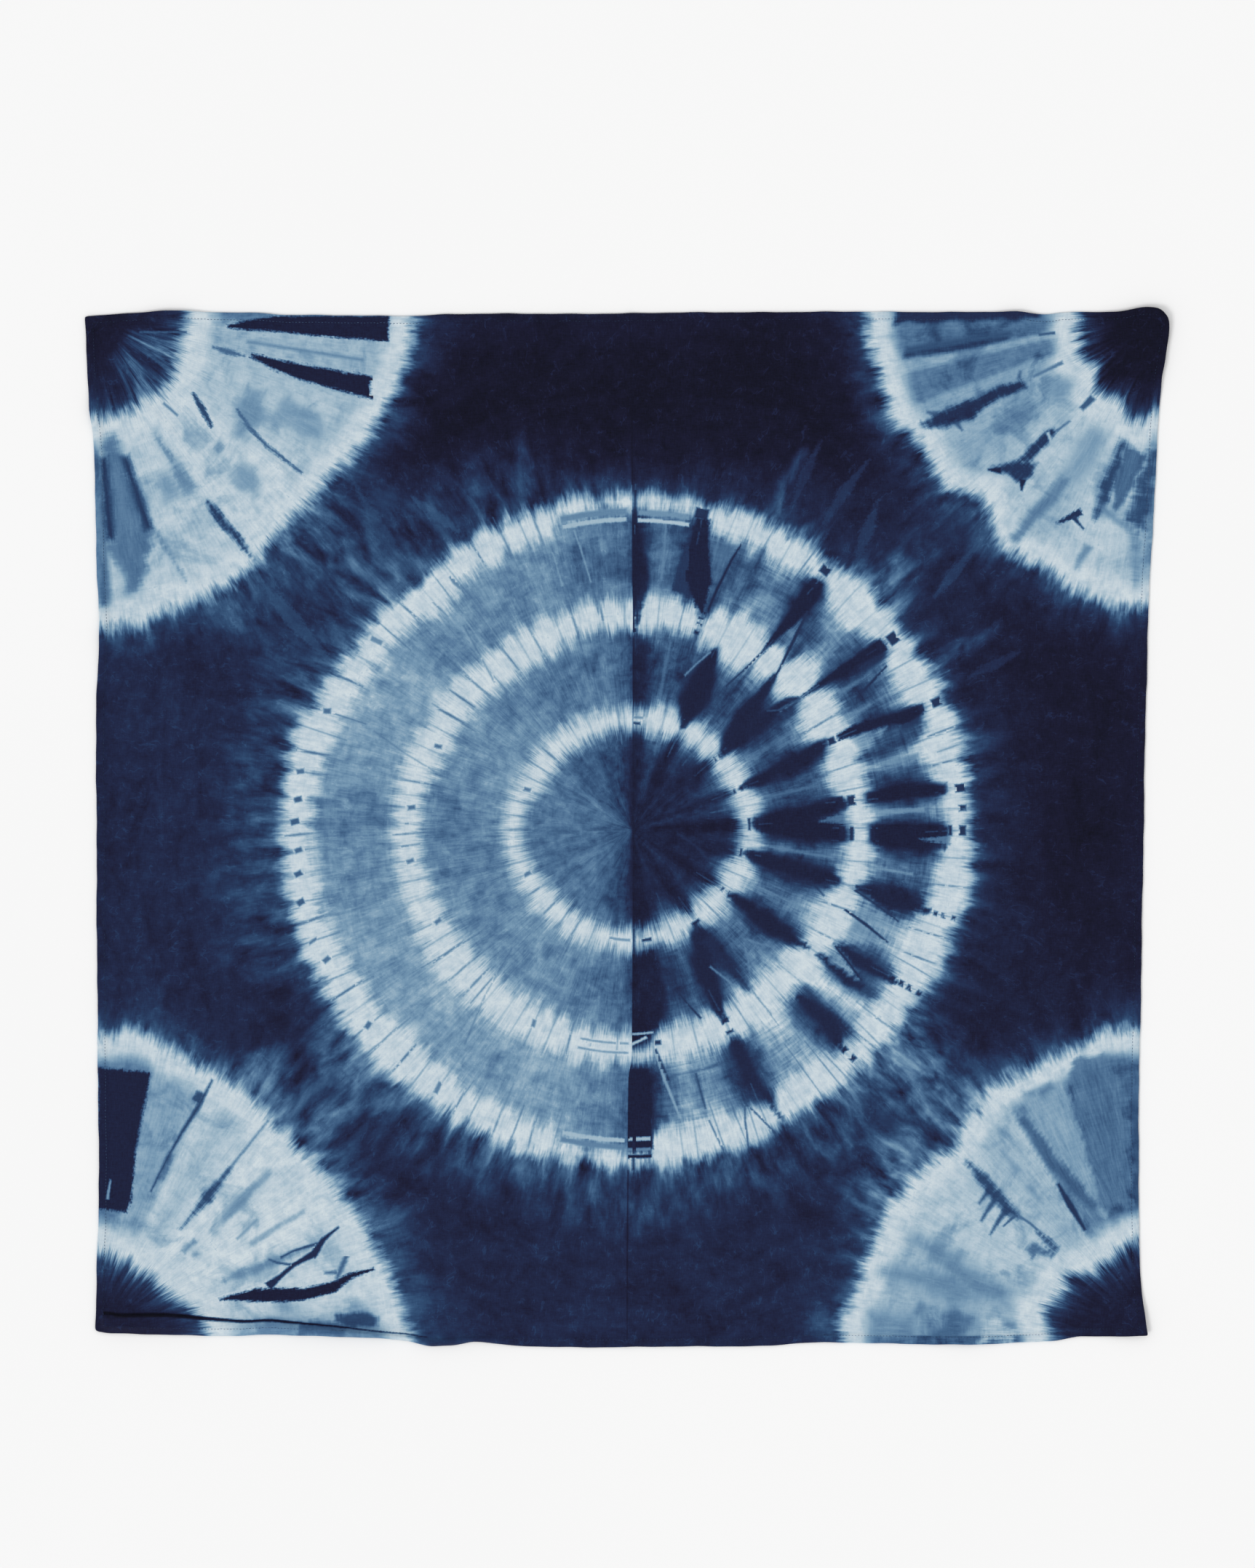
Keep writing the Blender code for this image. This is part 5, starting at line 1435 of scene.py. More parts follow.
    def smudge(self, trail: Trail, x: np.ndarray, y: np.ndarray) -> np.ndarray:
        """Return how strongly a soft mark in the flat frame covers places, from 0 to 1."""
        reach = trail.soft / 2.0
        depths = [stretch.measure(x, y)[0] for stretch in stretches_of(Home.FLAT, [trail])]
        return soft_step(np.maximum.reduce(depths), -reach, reach)


class Bench:
    """Adds nodes to one material and wires them together."""

    def __init__(self, material: bpy.types.Material) -> None:
        """Open a material for wiring."""
        material.use_nodes = True
        self.tree = material.node_tree
        self.shader = self.tree.nodes["Principled BSDF"]

    def node(self, kind: str, *values: object, **settings: object) -> bpy.types.Node:
        """Add a node.

        Args:
            kind: the node's type, without its ShaderNode prefix.
            values: what its first inputs are fed with.
            settings: properties to set on it.

        Returns:
            The node.
        """
        node = self.tree.nodes.new("ShaderNode" + kind)
        for name, value in settings.items():
            setattr(node, name, value)
        for socket, value in zip(node.inputs, values):
            self.feed(socket, value)
        return node

    def feed(self, socket: bpy.types.NodeSocket, value: object) -> None:
        """Link a socket to another, or set its number."""
        if isinstance(value, bpy.types.NodeSocket):
            self.tree.links.new(value, socket)
        else:
            socket.default_value = value

    def feed_named(self, node: bpy.types.Node, values: dict[str, object]) -> bpy.types.Node:
        """Feed a node's inputs by their names, and return the node."""
        for name, value in values.items():
            self.feed(node.inputs[name], value)
        return node

    def math(self, operation: str, *values: object, clamp: bool = False) -> bpy.types.NodeSocket:
        """Return what a Math node makes of sockets or numbers."""
        return self.node("Math", *values, operation=operation, use_clamp=clamp).outputs[0]

    def sway(
        self, noise: object, weight: float, base: object = 0.0, clamp: bool = False
    ) -> bpy.types.NodeSocket:
        """Return a base that a noise, 0.5 on average, moves up and down."""
        return self.math("MULTIPLY_ADD", self.math("SUBTRACT", noise, 0.5), weight, base, clamp=clamp)

    def vector(self, operation: str, *values: object) -> bpy.types.Node:
        """Add a Vector Math node and return it."""
        return self.node("VectorMath", *values, operation=operation)

    def parts(self, vector: bpy.types.NodeSocket) -> list[bpy.types.NodeSocket]:
        """Return a vector's three parts."""
        return list(self.node("SeparateXYZ", vector).outputs)

    def join(self, *values: object) -> bpy.types.NodeSocket:
        """Return a vector made of three numbers or sockets."""
        return self.node("CombineXYZ", *values).outputs[0]

    def attribute(self, name: str, output: str = "Vector") -> bpy.types.NodeSocket:
        """Return an output of a new Attribute node."""
        return self.node("Attribute", attribute_name=name).outputs[output]

    def noise(
        self,
        vector: object,
        scale: float,
        detail: float = 2.0,
        roughness: float = 0.5,
        distortion: float = 0.0,
    ) -> bpy.types.NodeSocket:
        """Add a noise texture.

        Args:
            vector: its coordinates.
            scale: its scale.
            detail: how many finer octaves it has.
            roughness: how strong they are.
            distortion: how much it is warped.

        Returns:
            Its value, about 0.5 on average.
        """
        values = {"Vector": vector, "Scale": scale, "Detail": detail, "Roughness": roughness}
        return self.feed_named(self.node("TexNoise"), {**values, "Distortion": distortion}).outputs["Fac"]

    def step(self, value: object, low: object, high: object) -> bpy.types.NodeSocket:
        """Return a smooth change from 0 at low to 1 at high."""
        node = self.node("MapRange", value, low, high, interpolation_type="SMOOTHSTEP")
        return node.outputs["Result"]

    def blend(self, low: object, high: object, share: object) -> bpy.types.NodeSocket:
        """Return low where share is 0 and high where it is 1."""
        node = self.node("Mix", share, data_type="FLOAT")
        for socket, value in zip(node.inputs[2:4], (low, high)):
            self.feed(socket, value)
        return node.outputs[0]

    def ramp(
        self, value: object, stops: Sequence[tuple[float, tuple[int, int, int]]]
    ) -> bpy.types.NodeSocket:
        """Add a colour ramp.

        Args:
            value: where on the ramp.
            stops: positions and screen colours from 0 to 255.

        Returns:
            Its colour.
        """
        node = self.node("ValToRGB", value)
        elements = node.color_ramp.elements
        while len(elements) < len(stops):
            elements.new(1.0)
        for element, (position, colour) in zip(elements, stops):
            element.position = position
            element.color = (*(to_linear(part / 255.0) for part in colour), 1.0)
        return node.outputs["Color"]

    def bump(
        self, height: object, strength: float, distance: float, under: object = None
    ) -> bpy.types.NodeSocket:
        """Add a bump.

        Args:
            height: its height.
            strength: its strength.
            distance: how high it stands, in metres.
            under: the normal of a coarser or finer bump that it adds to.

        Returns:
            Its normal.
        """
        values = {"Strength": strength, "Distance": distance, "Height": height}
        if under is not None:
            values["Normal"] = under
        return self.feed_named(self.node("Bump"), values).outputs[0]


def to_linear(value: float) -> float:
    """Turn one part of a screen colour into the linear part that shaders use."""
    if value <= 0.04045:
        return value / 12.92
    return ((value + 0.055) / 1.055) ** 2.4


class Strand(NamedTuple):
    """A noise along the pleats: how closely it stands round rings and fans, its length and its grain."""

    ring_turns: float
    fan_turns: float
    length: float
    roughness: float = 0.6
    distortion: float = 0.0


class Pleats:
    """The cloth's own coordinates, and noises that run along its pleats."""

    threads = Strand(125.0, 100.0, 16.0)
    streaks = Strand(21.0, 16.8, 34.0, 0.55, 0.3)
    strata = Strand(7.0, 7.0, 2.8)

    def __init__(self, bench: Bench) -> None:
        """Add the coordinates to a material."""
        self.bench = bench
        metres = bench.node("TexCoord").outputs["Object"]
        place = bench.vector("SCALE", metres)
        place.inputs["Scale"].default_value = 1.0 / MM
        self.x, self.y, _ = bench.parts(place.outputs[0])
        side_x, side_y = (bench.math("SIGN", at) for at in (self.x, self.y))
        self.place = bench.join(self.x, self.y, 0.0)
        self.middle = (*Home.RINGS.value, 0.0)
        self.out = bench.vector("DISTANCE", self.place, self.middle).outputs["Value"]
        corner_x, corner_y = bench.math("MULTIPLY", side_x, 456.0), bench.math("MULTIPLY", side_y, 435.0)
        self.corner = bench.join(corner_x, corner_y, 0.0)
        self.shift = bench.math("MULTIPLY_ADD", side_x, 31.0, bench.math("MULTIPLY", side_y, 67.0))
        self.is_fan = bench.attribute("fan_share", "Fac")

    def about(self, centre: object, turns: float, length: float) -> bpy.types.NodeSocket:
        """Return coordinates that run round and out from a middle, for threads along the pleats.

        Args:
            centre: the rings' middle or the nearest corner.
            turns: how closely the threads stand round it.
            length: how long they are.

        Returns:
            The coordinates.
        """
        bench = self.bench
        away = bench.vector("SUBTRACT", self.place, centre).outputs[0]
        distance = bench.vector("LENGTH", away).outputs["Value"]
        unit_x, unit_y, _ = bench.parts(bench.vector("NORMALIZE", away).outputs[0])
        round_x = bench.math("MULTIPLY_ADD", unit_x, turns, self.shift if centre is self.corner else 0.0)
        round_y = bench.math("MULTIPLY", unit_y, turns)
        return bench.join(round_x, round_y, bench.math("DIVIDE", distance, length))

    def noise(self, strand: Strand) -> bpy.types.NodeSocket:
        """Return a strand's noise, round the rings' middle or round the nearest fan's corner."""
        grain = (1.0, 3.0, strand.roughness, strand.distortion)
        in_rings = self.bench.noise(self.about(self.middle, strand.ring_turns, strand.length), *grain)
        in_fan = self.bench.noise(self.about(self.corner, strand.fan_turns, strand.length), *grain)
        return self.bench.blend(in_rings, in_fan, self.is_fan)


class Grain(NamedTuple):
    """The noises that the dye and the cloth's surface share."""

    threads: bpy.types.NodeSocket
    streaks: bpy.types.NodeSocket
    strata: bpy.types.NodeSocket
    mottle: bpy.types.NodeSocket
    fleck: bpy.types.NodeSocket


@dataclass(frozen=True)
class IndigoCotton:
    """The cloth's finish: plain-weave cotton, dyed in indigo through its ties and pleats, with painted shade
    along the middle fold and painted shadow behind the ruck.
    """

    tones: tuple[tuple[int, int, int], ...] = (
        (9, 9, 14), (25, 26, 50), (32, 41, 73), (37, 57, 93), (47, 76, 113), (60, 92, 129), (73, 108, 144),
        (88, 123, 157), (103, 138, 168), (118, 152, 179), (137, 167, 189), (156, 182, 199), (176, 196, 209),
        (195, 209, 218), (209, 220, 225),
    )
    # The near-black first tone, below 0, serves the deepest ground and the painted shadow of the ruck's slot
    # and of the middle fold's crease.
    darkest_tone: float = -0.1
    roughness: float = 0.92
    specular: float = 0.06
    sheen: float = 0.06

    def stops(self) -> list[tuple[float, tuple[int, int, int]]]:
        """Return the ramp's stops, spaced by how light each tone is."""
        lights = [0.2126 * red + 0.7152 * green + 0.0722 * blue for red, green, blue in self.tones]
        low, high = lights[1], lights[-1]
        places = [(light - low) / (high - low) for light in lights]
        places[0] = self.darkest_tone
        span = 1.0 - self.darkest_tone
        return [((place - self.darkest_tone) / span, tone) for place, tone in zip(places, self.tones)]

    def ground(
        self, pleats: Pleats, grain: Grain, ground: object, glow: object, texture: object
    ) -> bpy.types.NodeSocket:
        """Build the dyed cloth's tone, with its paler streaks and clouds.

        Args:
            pleats: the cloth's coordinates.
            grain: its noises.
            ground: its tone.
            glow: how strong the streaks are.
            texture: a fine grain about 0.

        Returns:
            The tone.
        """
        bench = pleats.bench
        strands = bench.math("MAXIMUM", bench.math("MULTIPLY_ADD", grain.streaks, 3.6, -1.0), 0.0)
        wisps = bench.math("MULTIPLY_ADD", grain.streaks, 1.2, 0.4)
        wisps = bench.math("MAXIMUM", bench.math("MULTIPLY_ADD", grain.strata, 1.5, wisps), 0.0)
        strands = bench.blend(wisps, strands, bench.step(pleats.out, 262.0, 292.0))
        tone = bench.math("ADD", ground, bench.math("MULTIPLY", glow, strands))
        calm = bench.math("MULTIPLY_ADD", bench.step(ground, 0.0, 0.2), 0.8, 0.2)
        cloud = bench.noise(pleats.place, 0.016, 4.0, 0.55, 0.5)
        patches = bench.noise(pleats.about(pleats.middle, 6.0, 24.0), 1.0, 4.0, 0.62, 0.7)
        clouds = bench.sway(patches, 0.5, bench.sway(grain.mottle, 0.44, bench.sway(cloud, 0.2)))
        tone = bench.math("MULTIPLY_ADD", clouds, calm, tone)
        tone = bench.math("MULTIPLY_ADD", texture, bench.step(tone, 0.0, 0.35), tone)
        streak = pleats.about(pleats.middle, pleats.streaks.ring_turns, pleats.streaks.length)
        veins = bench.math("MULTIPLY_ADD", bench.noise(streak, 1.7, 2.0, 0.5, 1.2), 2.0, -1.0)
        veins = bench.step(bench.math("ABSOLUTE", veins), 0.055, 0.0)
        veins = bench.math("MULTIPLY", veins, bench.step(grain.mottle, 0.46, 0.62))
        return bench.math("MAXIMUM", bench.math("MULTIPLY_ADD", veins, 0.07, tone), -0.05)

    def undyed(self, pleats: Pleats, grain: Grain, pale: object, band: object) -> bpy.types.NodeSocket:
        """Build the undyed bands' tone, with the blotches where dye crept in.

        Args:
            pleats: the cloth's coordinates.
            grain: its noises.
            pale: the bands' tone.
            band: how far inside a band each place is.

        Returns:
            The tone.
        """
        bench = pleats.bench
        tone = bench.sway(grain.threads, 0.22, bench.sway(grain.mottle, 0.36, pale))
        tone = bench.math("MULTIPLY_ADD", grain.strata, 0.1, tone)
        blotches = bench.noise(pleats.about(pleats.corner, 4.2, 36.0), 1.0, 4.0, 0.6, 0.6)
        blotches = bench.math("MULTIPLY", bench.step(blotches, 0.47, 0.66), bench.step(band, 12.0, 42.0))
        return bench.math("MULTIPLY_ADD", blotches, -0.19, tone)

    def mark(
        self, bench: Bench, name: str, tone: object, wander: object, rough: float
    ) -> bpy.types.NodeSocket:
        """Lay one layer of marks over a tone.

        Args:
            bench: where the nodes go.
            name: the layer.
            tone: the tone under it.
            wander: noise about 0 that feathers the marks' edges.
            rough: how far it moves them.

        Returns:
            The tone with the marks.
        """
        offset, half, ends = bench.parts(bench.attribute(name + "_place"))
        new_tone, soft, strength = bench.parts(bench.attribute(name + "_dye"))
        inside = bench.math("SUBTRACT", half, bench.math("ABSOLUTE", offset))
        feather = bench.math("MULTIPLY", wander, bench.math("MULTIPLY_ADD", soft, rough, 0.4))
        inside = bench.math("ADD", bench.math("MINIMUM", inside, ends), feather)
        share = bench.step(inside, bench.math("MULTIPLY", soft, -1.0), soft)
        return bench.blend(tone, new_tone, bench.math("MULTIPLY", share, strength))

    def dye(self, pleats: Pleats, grain: Grain) -> bpy.types.NodeSocket:
        """Build the cloth's tone from the dye's fields and marks, which include painted shade along the
        middle fold and behind the ruck.

        Args:
            pleats: the cloth's coordinates.
            grain: its noises.

        Returns:
            The tone.
        """
        bench = pleats.bench
        band, pale, ground = bench.parts(bench.attribute("dye_base"))
        smudge_tone, cover, glow = bench.parts(bench.attribute("dye_smudge"))
        texture = bench.sway(grain.streaks, 0.3, bench.sway(grain.threads, 0.3))
        texture = bench.math("MULTIPLY", texture, bench.step(pleats.out, -30.0, 150.0))
        texture = bench.math("MULTIPLY_ADD", grain.strata, 0.1, texture)
        reach = bench.math("MULTIPLY_ADD", grain.threads, 18.0, -9.0)
        reach = bench.math("ADD", reach, bench.math("MULTIPLY_ADD", grain.streaks, 14.0, -8.0))
        white = bench.step(bench.math("ADD", band, reach), -9.0, 7.0)
        tone = self.ground(pleats, grain, ground, glow, texture)
        tone = bench.blend(tone, self.undyed(pleats, grain, pale, band), white)
        cover = bench.math("MULTIPLY_ADD", grain.strata, 0.7, bench.sway(grain.threads, 0.8, cover))
        cover = bench.step(bench.sway(grain.mottle, 0.7, cover), 0.1, 0.95)
        smudge_tone = bench.math("MULTIPLY_ADD", texture, bench.step(smudge_tone, 0.0, 0.4), smudge_tone)
        tone = bench.blend(tone, smudge_tone, bench.math("MULTIPLY", cover, 0.9))
        wander = bench.math("SUBTRACT", bench.blend(grain.threads, grain.fleck, 0.5), 0.5)
        tone = self.mark(bench, "block", tone, wander, 6.0)
        return self.mark(bench, "line", tone, wander, 2.2)

    def yarns(self, pleats: Pleats) -> bpy.types.NodeSocket:
        """Return the uneven yarns of warp and weft, about 0."""
        bench, x, y = pleats.bench, pleats.x, pleats.y
        warp = bench.join(bench.math("MULTIPLY", x, 1.6), bench.math("MULTIPLY", y, 0.12), 0.0)
        weft = bench.join(bench.math("MULTIPLY", x, 0.12), bench.math("MULTIPLY", y, 1.6), 3.0)
        return bench.math("SUBTRACT", bench.math("ADD", bench.noise(warp, 1.0), bench.noise(weft, 1.0)), 1.0)

    def relief(self, pleats: Pleats, grain: Grain, yarns: object) -> bpy.types.NodeSocket:
        """Return the normal of the cloth's weave with its fine crinkle."""
        bench = pleats.bench
        turns = (bench.math("MULTIPLY", at, 11.4) for at in (pleats.x, pleats.y))
        weave = bench.math("MULTIPLY", *(bench.math("SINE", turn) for turn in turns))
        weave = bench.math("MULTIPLY_ADD", weave, 0.5, yarns)
        crinkle = bench.math("MULTIPLY_ADD", grain.mottle, 0.7, bench.math("MULTIPLY", grain.threads, 0.5))
        return bench.bump(crinkle, 0.5, 0.0008, bench.bump(weave, 0.35, 0.00012))

    def make(self) -> bpy.types.Material:
        """Build the cloth's material."""
        material = bpy.data.materials.new("indigo_cotton_dyed_and_shaded")
        bench = Bench(material)
        pleats = Pleats(bench)
        grain = Grain(
            threads=pleats.noise(pleats.threads),
            streaks=pleats.noise(pleats.streaks),
            strata=bench.math("SUBTRACT", pleats.noise(pleats.strata), 0.5),
            mottle=bench.noise(pleats.place, 0.09, 5.0, 0.6, 0.4),
            fleck=bench.noise(pleats.place, 0.45, 3.0, 0.6),
        )
        yarns = self.yarns(pleats)
        tone = bench.math("MULTIPLY_ADD", yarns, 0.07, self.dye(pleats, grain))
        tone = bench.math("SUBTRACT", bench.sway(grain.fleck, 0.07, tone), self.darkest_tone)
        spot = bench.math("DIVIDE", tone, 1.0 - self.darkest_tone, clamp=True)
        finish = {
            "Base Color": bench.ramp(spot, self.stops()),
            "Normal": self.relief(pleats, grain, yarns),
            "Roughness": self.roughness,
            "Specular IOR Level": self.specular,
            "Sheen Weight": self.sheen,
            "Sheen Roughness": 0.5,
        }
        bench.feed_named(bench.shader, finish)
        return material


@dataclass(frozen=True)
class CottonThread:
    """The sewing thread's finish: twisted cotton that went through the same dye baths."""

    stops: tuple[tuple[float, tuple[int, int, int]], ...] = (
        (0.0, (24, 27, 48)), (0.5, (62, 84, 116)), (1.0, (132, 152, 172)),
    )
    twist: float = 2200.0
    roughness: float = 0.85
    specular: float = 0.1

    def make(self) -> bpy.types.Material:
        """Build the thread's material."""
        material = bpy.data.materials.new("indigo_thread")
        bench = Bench(material)
        metres = bench.node("TexCoord").outputs["Object"]
        tone = bench.sway(bench.noise(metres, 1800.0), 0.3, bench.attribute("thread_tone", "Fac"), clamp=True)
        x, y, _ = bench.parts(metres)
        ply = bench.math("SINE", bench.math("MULTIPLY", bench.math("ADD", x, y), self.twist))
        finish = {
            "Base Color": bench.ramp(tone, self.stops),
            "Normal": bench.bump(ply, 0.6, 0.0001),
            "Roughness": self.roughness,
            "Specular IOR Level": self.specular,
        }
        bench.feed_named(bench.shader, finish)
        return material


def settle_order(items: Sequence, place: Callable[[object], Vector]) -> None:
    """Sort a shape's vertices, edges or faces by place, since extruding leaves them in any order."""
    in_order = sorted(items, key=lambda item: tuple(round(part, 5) for part in place(item)))
    for index, item in enumerate(in_order):
        item.index = index
    items.sort()


def new_piece(name: str, shape: bmesh.types.BMesh, material: bpy.types.Material) -> bpy.types.Object:
    """Make an object of a finished shape.

    Args:
        name: the piece's name.
        shape: its mesh, which is freed.
        material: its material.

    Returns:
        The object, linked to the scene.
    """
    settle_order(shape.verts, lambda vertex: vertex.co)
    settle_order(shape.edges, lambda edge: edge.verts[0].co + edge.verts[1].co)
    settle_order(shape.faces, lambda face: face.calc_center_median())
    for face in shape.faces:
        face.smooth = True
    mesh = bpy.data.meshes.new(name)
    shape.to_mesh(mesh)
    shape.free()
    mesh.materials.append(material)
    piece = bpy.data.objects.new(name, mesh)
    bpy.context.scene.collection.objects.link(piece)
    return piece


def read_places(mesh: bpy.types.Mesh) -> np.ndarray:
    """Return the places of a mesh's vertices."""
    places = np.empty(len(mesh.vertices) * 3)
    mesh.vertices.foreach_get("co", places)
    return places.reshape(-1, 3)


def write_places(mesh: bpy.types.Mesh, places: np.ndarray) -> None:
    """Move a mesh's vertices to places in millimetres."""
    mesh.vertices.foreach_set("co", (places * MM).ravel())
    mesh.update()


def write_numbers(mesh: bpy.types.Mesh, name: str, domain: str, *values: np.ndarray) -> None:
    """Give a mesh a named attribute.

    Args:
        mesh: the mesh.
        name: the attribute's name.
        domain: POINT or CORNER.
        values: its numbers, or a vector's three parts.
    """
    kind, key = ("FLOAT_VECTOR", "vector") if len(values) == 3 else ("FLOAT", "value")
    attribute = mesh.attributes.new(name, kind, domain)
    attribute.data.foreach_set(key, np.column_stack(values).astype(np.float32).ravel())


@dataclass
class WrappingCloth:
    """The cloth: one sheet, finely meshed on its face and closed underneath."""

    lie: Lie
    dye: Dye
    pitch: float = 3.25
    hem_lines: tuple[float, ...] = (0.0, 0.5, 1.2, 3.0, 5.0, 5.8, 6.4, 7.0, 8.0, 10.0)
    fold_lines: tuple[float, ...] = (0.35, 1.6, 4.0)
    ruck_start: float = 2.2
    ruck_line_step: float = 1.15
    ruck_reach: float = 21.0
    rim_insets: tuple[float, ...] = (0.0, 0.35, 1.2, 6.0, 12.0, 18.0, 30.0, 46.0, 66.0)
    rim_shares: tuple[float, ...] = (0.5, 0.12, 0.0, 0.0, 0.0, 0.0, 0.0, 0.0, 0.0)
    level_drop: float = 0.01

    def columns(self) -> np.ndarray:
        """Return the upright grid lines as shares, from -1 at the left edge to 1 at the right."""
        inner = HALF_WIDTH - self.fold_lines[-1]
        count = round((inner - self.hem_lines[-1]) / self.pitch)
        middle = np.linspace(self.hem_lines[-1], inner, count + 1)[1:-1]
        near_fold = [HALF_WIDTH - offset for offset in reversed(self.fold_lines)]
        from_edge = np.array([*self.hem_lines, *middle, *near_fold]) / HALF_WIDTH
        return np.concatenate([from_edge - 1.0, [0.0], (1.0 - from_edge)[::-1]])

    def rows(self) -> np.ndarray:
        """Return the level grid lines as shares, from 0 at the lower edge to 1 at the upper."""
        low_hem = [line for line in self.hem_lines if line < self.ruck_start]
        low = [*low_hem, *np.arange(self.ruck_start, self.ruck_reach, self.ruck_line_step)]
        top = [WHOLE_HEIGHT - line for line in reversed(self.hem_lines)]
        count = round((top[0] - low[-1]) / self.pitch)
        middle = np.linspace(low[-1], top[0], count + 1)[1:-1]
        return np.array([*low, *middle, *top]) / WHOLE_HEIGHT

    def build(self) -> bpy.types.Object:
        """Build the cloth, with its dye in attributes and its material on."""
        columns, rows = self.columns(), self.rows()
        shape = bmesh.new()
        bmesh.ops.create_grid(shape, x_segments=len(columns) - 1, y_segments=len(rows) - 1, size=1.0)
        self.close_under(shape)
        cloth = new_piece("cotton_wrap", shape, IndigoCotton().make())
        grid = read_places(cloth.data)
        across = np.interp((grid[:, 0] + 1.0) / 2.0 * (len(columns) - 1), np.arange(len(columns)), columns)
        up = np.interp((grid[:, 1] + 1.0) / 2.0 * (len(rows) - 1), np.arange(len(rows)), rows)
        places = self.shape_up(across, up, np.rint(-grid[:, 2] / self.level_drop).astype(int))
        write_places(cloth.data, places)
        self.dye_cloth(cloth.data, places, across)
        self.mark_cloth(cloth.data, places, across)
        return cloth

    def close_under(self, shape: bmesh.types.BMesh) -> None:
        """Carry the flat grid's border down and in, level by level, and close it with one face."""
        border = [edge for edge in shape.edges if edge.is_boundary]
        for _ in self.rim_insets:
            extruded = bmesh.ops.extrude_edge_only(shape, edges=border)["geom"]
            lowered = [item for item in extruded if isinstance(item, bmesh.types.BMVert)]
            bmesh.ops.translate(shape, vec=(0.0, 0.0, -self.level_drop), verts=lowered)
            border = [item for item in extruded if isinstance(item, bmesh.types.BMEdge) and item.is_boundary]
        bmesh.ops.holes_fill(shape, edges=border, sides=0)
        bmesh.ops.recalc_face_normals(shape, faces=shape.faces)

    def shape_up(self, across: np.ndarray, up: np.ndarray, level: np.ndarray) -> np.ndarray:
        """Lay the grid out as the cloth.

        Args:
            across: each vertex's share of the width.
            up: its share of the height.
            level: 0 on the face, and 1 upwards round the rim and under the cloth.

        Returns:
            The vertices' places in millimetres.
        """
        insets = np.array([0.0, *self.rim_insets])[level]
        shares = np.array([0.0, *self.rim_shares])[level]
        across = across * (1.0 - insets / HALF_WIDTH)
        up = 0.5 + (up - 0.5) * (1.0 - 2.0 * insets / WHOLE_HEIGHT)
        x, y = self.lie.place(across, up)
        face = self.lie.top(x, y)
        under = self.lie.under(x, y)
        return np.column_stack([x, y, np.where(level == 0, face, under + (face - under) * shares)])

    def dye_cloth(self, mesh: bpy.types.Mesh, places: np.ndarray, across: np.ndarray) -> None:
        """Write the dye's fields and soft marks on the mesh.

        Args:
            mesh: the cloth's mesh.
            places: its vertices in millimetres.
            across: their shares of the width, which tell the two halves apart.
        """
        x, y = places[:, 0], places[:, 1]
        side = np.where(across < -1e-6, -1, 1)
        fields = self.dye.fields(x, y, side)
        # The ground in dye_base includes the painted shade beside the middle fold.
        write_numbers(mesh, "dye_base", "POINT", fields["band"], fields["pale"], fields["ground"])
        write_numbers(mesh, "dye_smudge", "POINT", *self.dye.lay_smudges(x, y, side), fields["glow"])
        homes = [home.value for home, _ in self.dye.fans]
        corner_gap = np.min([np.hypot(x - home_x, y - home_y) for home_x, home_y in homes], axis=0) - 255.0
        ring_gap = np.hypot(x - Home.RINGS.value[0], y - Home.RINGS.value[1]) - 290.0
        write_numbers(mesh, "fan_share", "POINT", soft_step(ring_gap - corner_gap, -12.0, 12.0))

    def mark_cloth(self, mesh: bpy.types.Mesh, places: np.ndarray, across: np.ndarray) -> None:
        """Write the crisp marks on the corners of the cloth's faces.

        Args:
            mesh: the cloth's mesh.
            places: its vertices in millimetres.
            across: their shares of the width.
        """
        starts, totals = np.empty((2, len(mesh.polygons)), dtype=np.int32)
        mesh.polygons.foreach_get("loop_start", starts)
        mesh.polygons.foreach_get("loop_total", totals)
        owners = np.empty(len(mesh.loops), dtype=np.int32)
        mesh.loops.foreach_get("vertex_index", owners)
        loops = starts[totals == 4][:, None] + np.arange(4)[None, :]
        corners = places[owners[loops]][:, :, :2]
        sides = np.where(across[owners[loops]].mean(axis=1) < 0.0, -1, 1)
        # Each layer's _dye attribute holds mark tones; in the line layer some of these are painted shadow,
        # along the middle fold and in the slot behind the ruck.
        for layer in self.dye.layers():
            measured = layer.measure(corners.mean(axis=1), corners, sides)
            for suffix, values in zip(("_place", "_dye"), measured):
                every = np.zeros((len(mesh.loops), 3))
                every[loops.ravel()] = values.reshape(-1, 3)
                write_numbers(mesh, layer.name + suffix, "CORNER", *every.T)


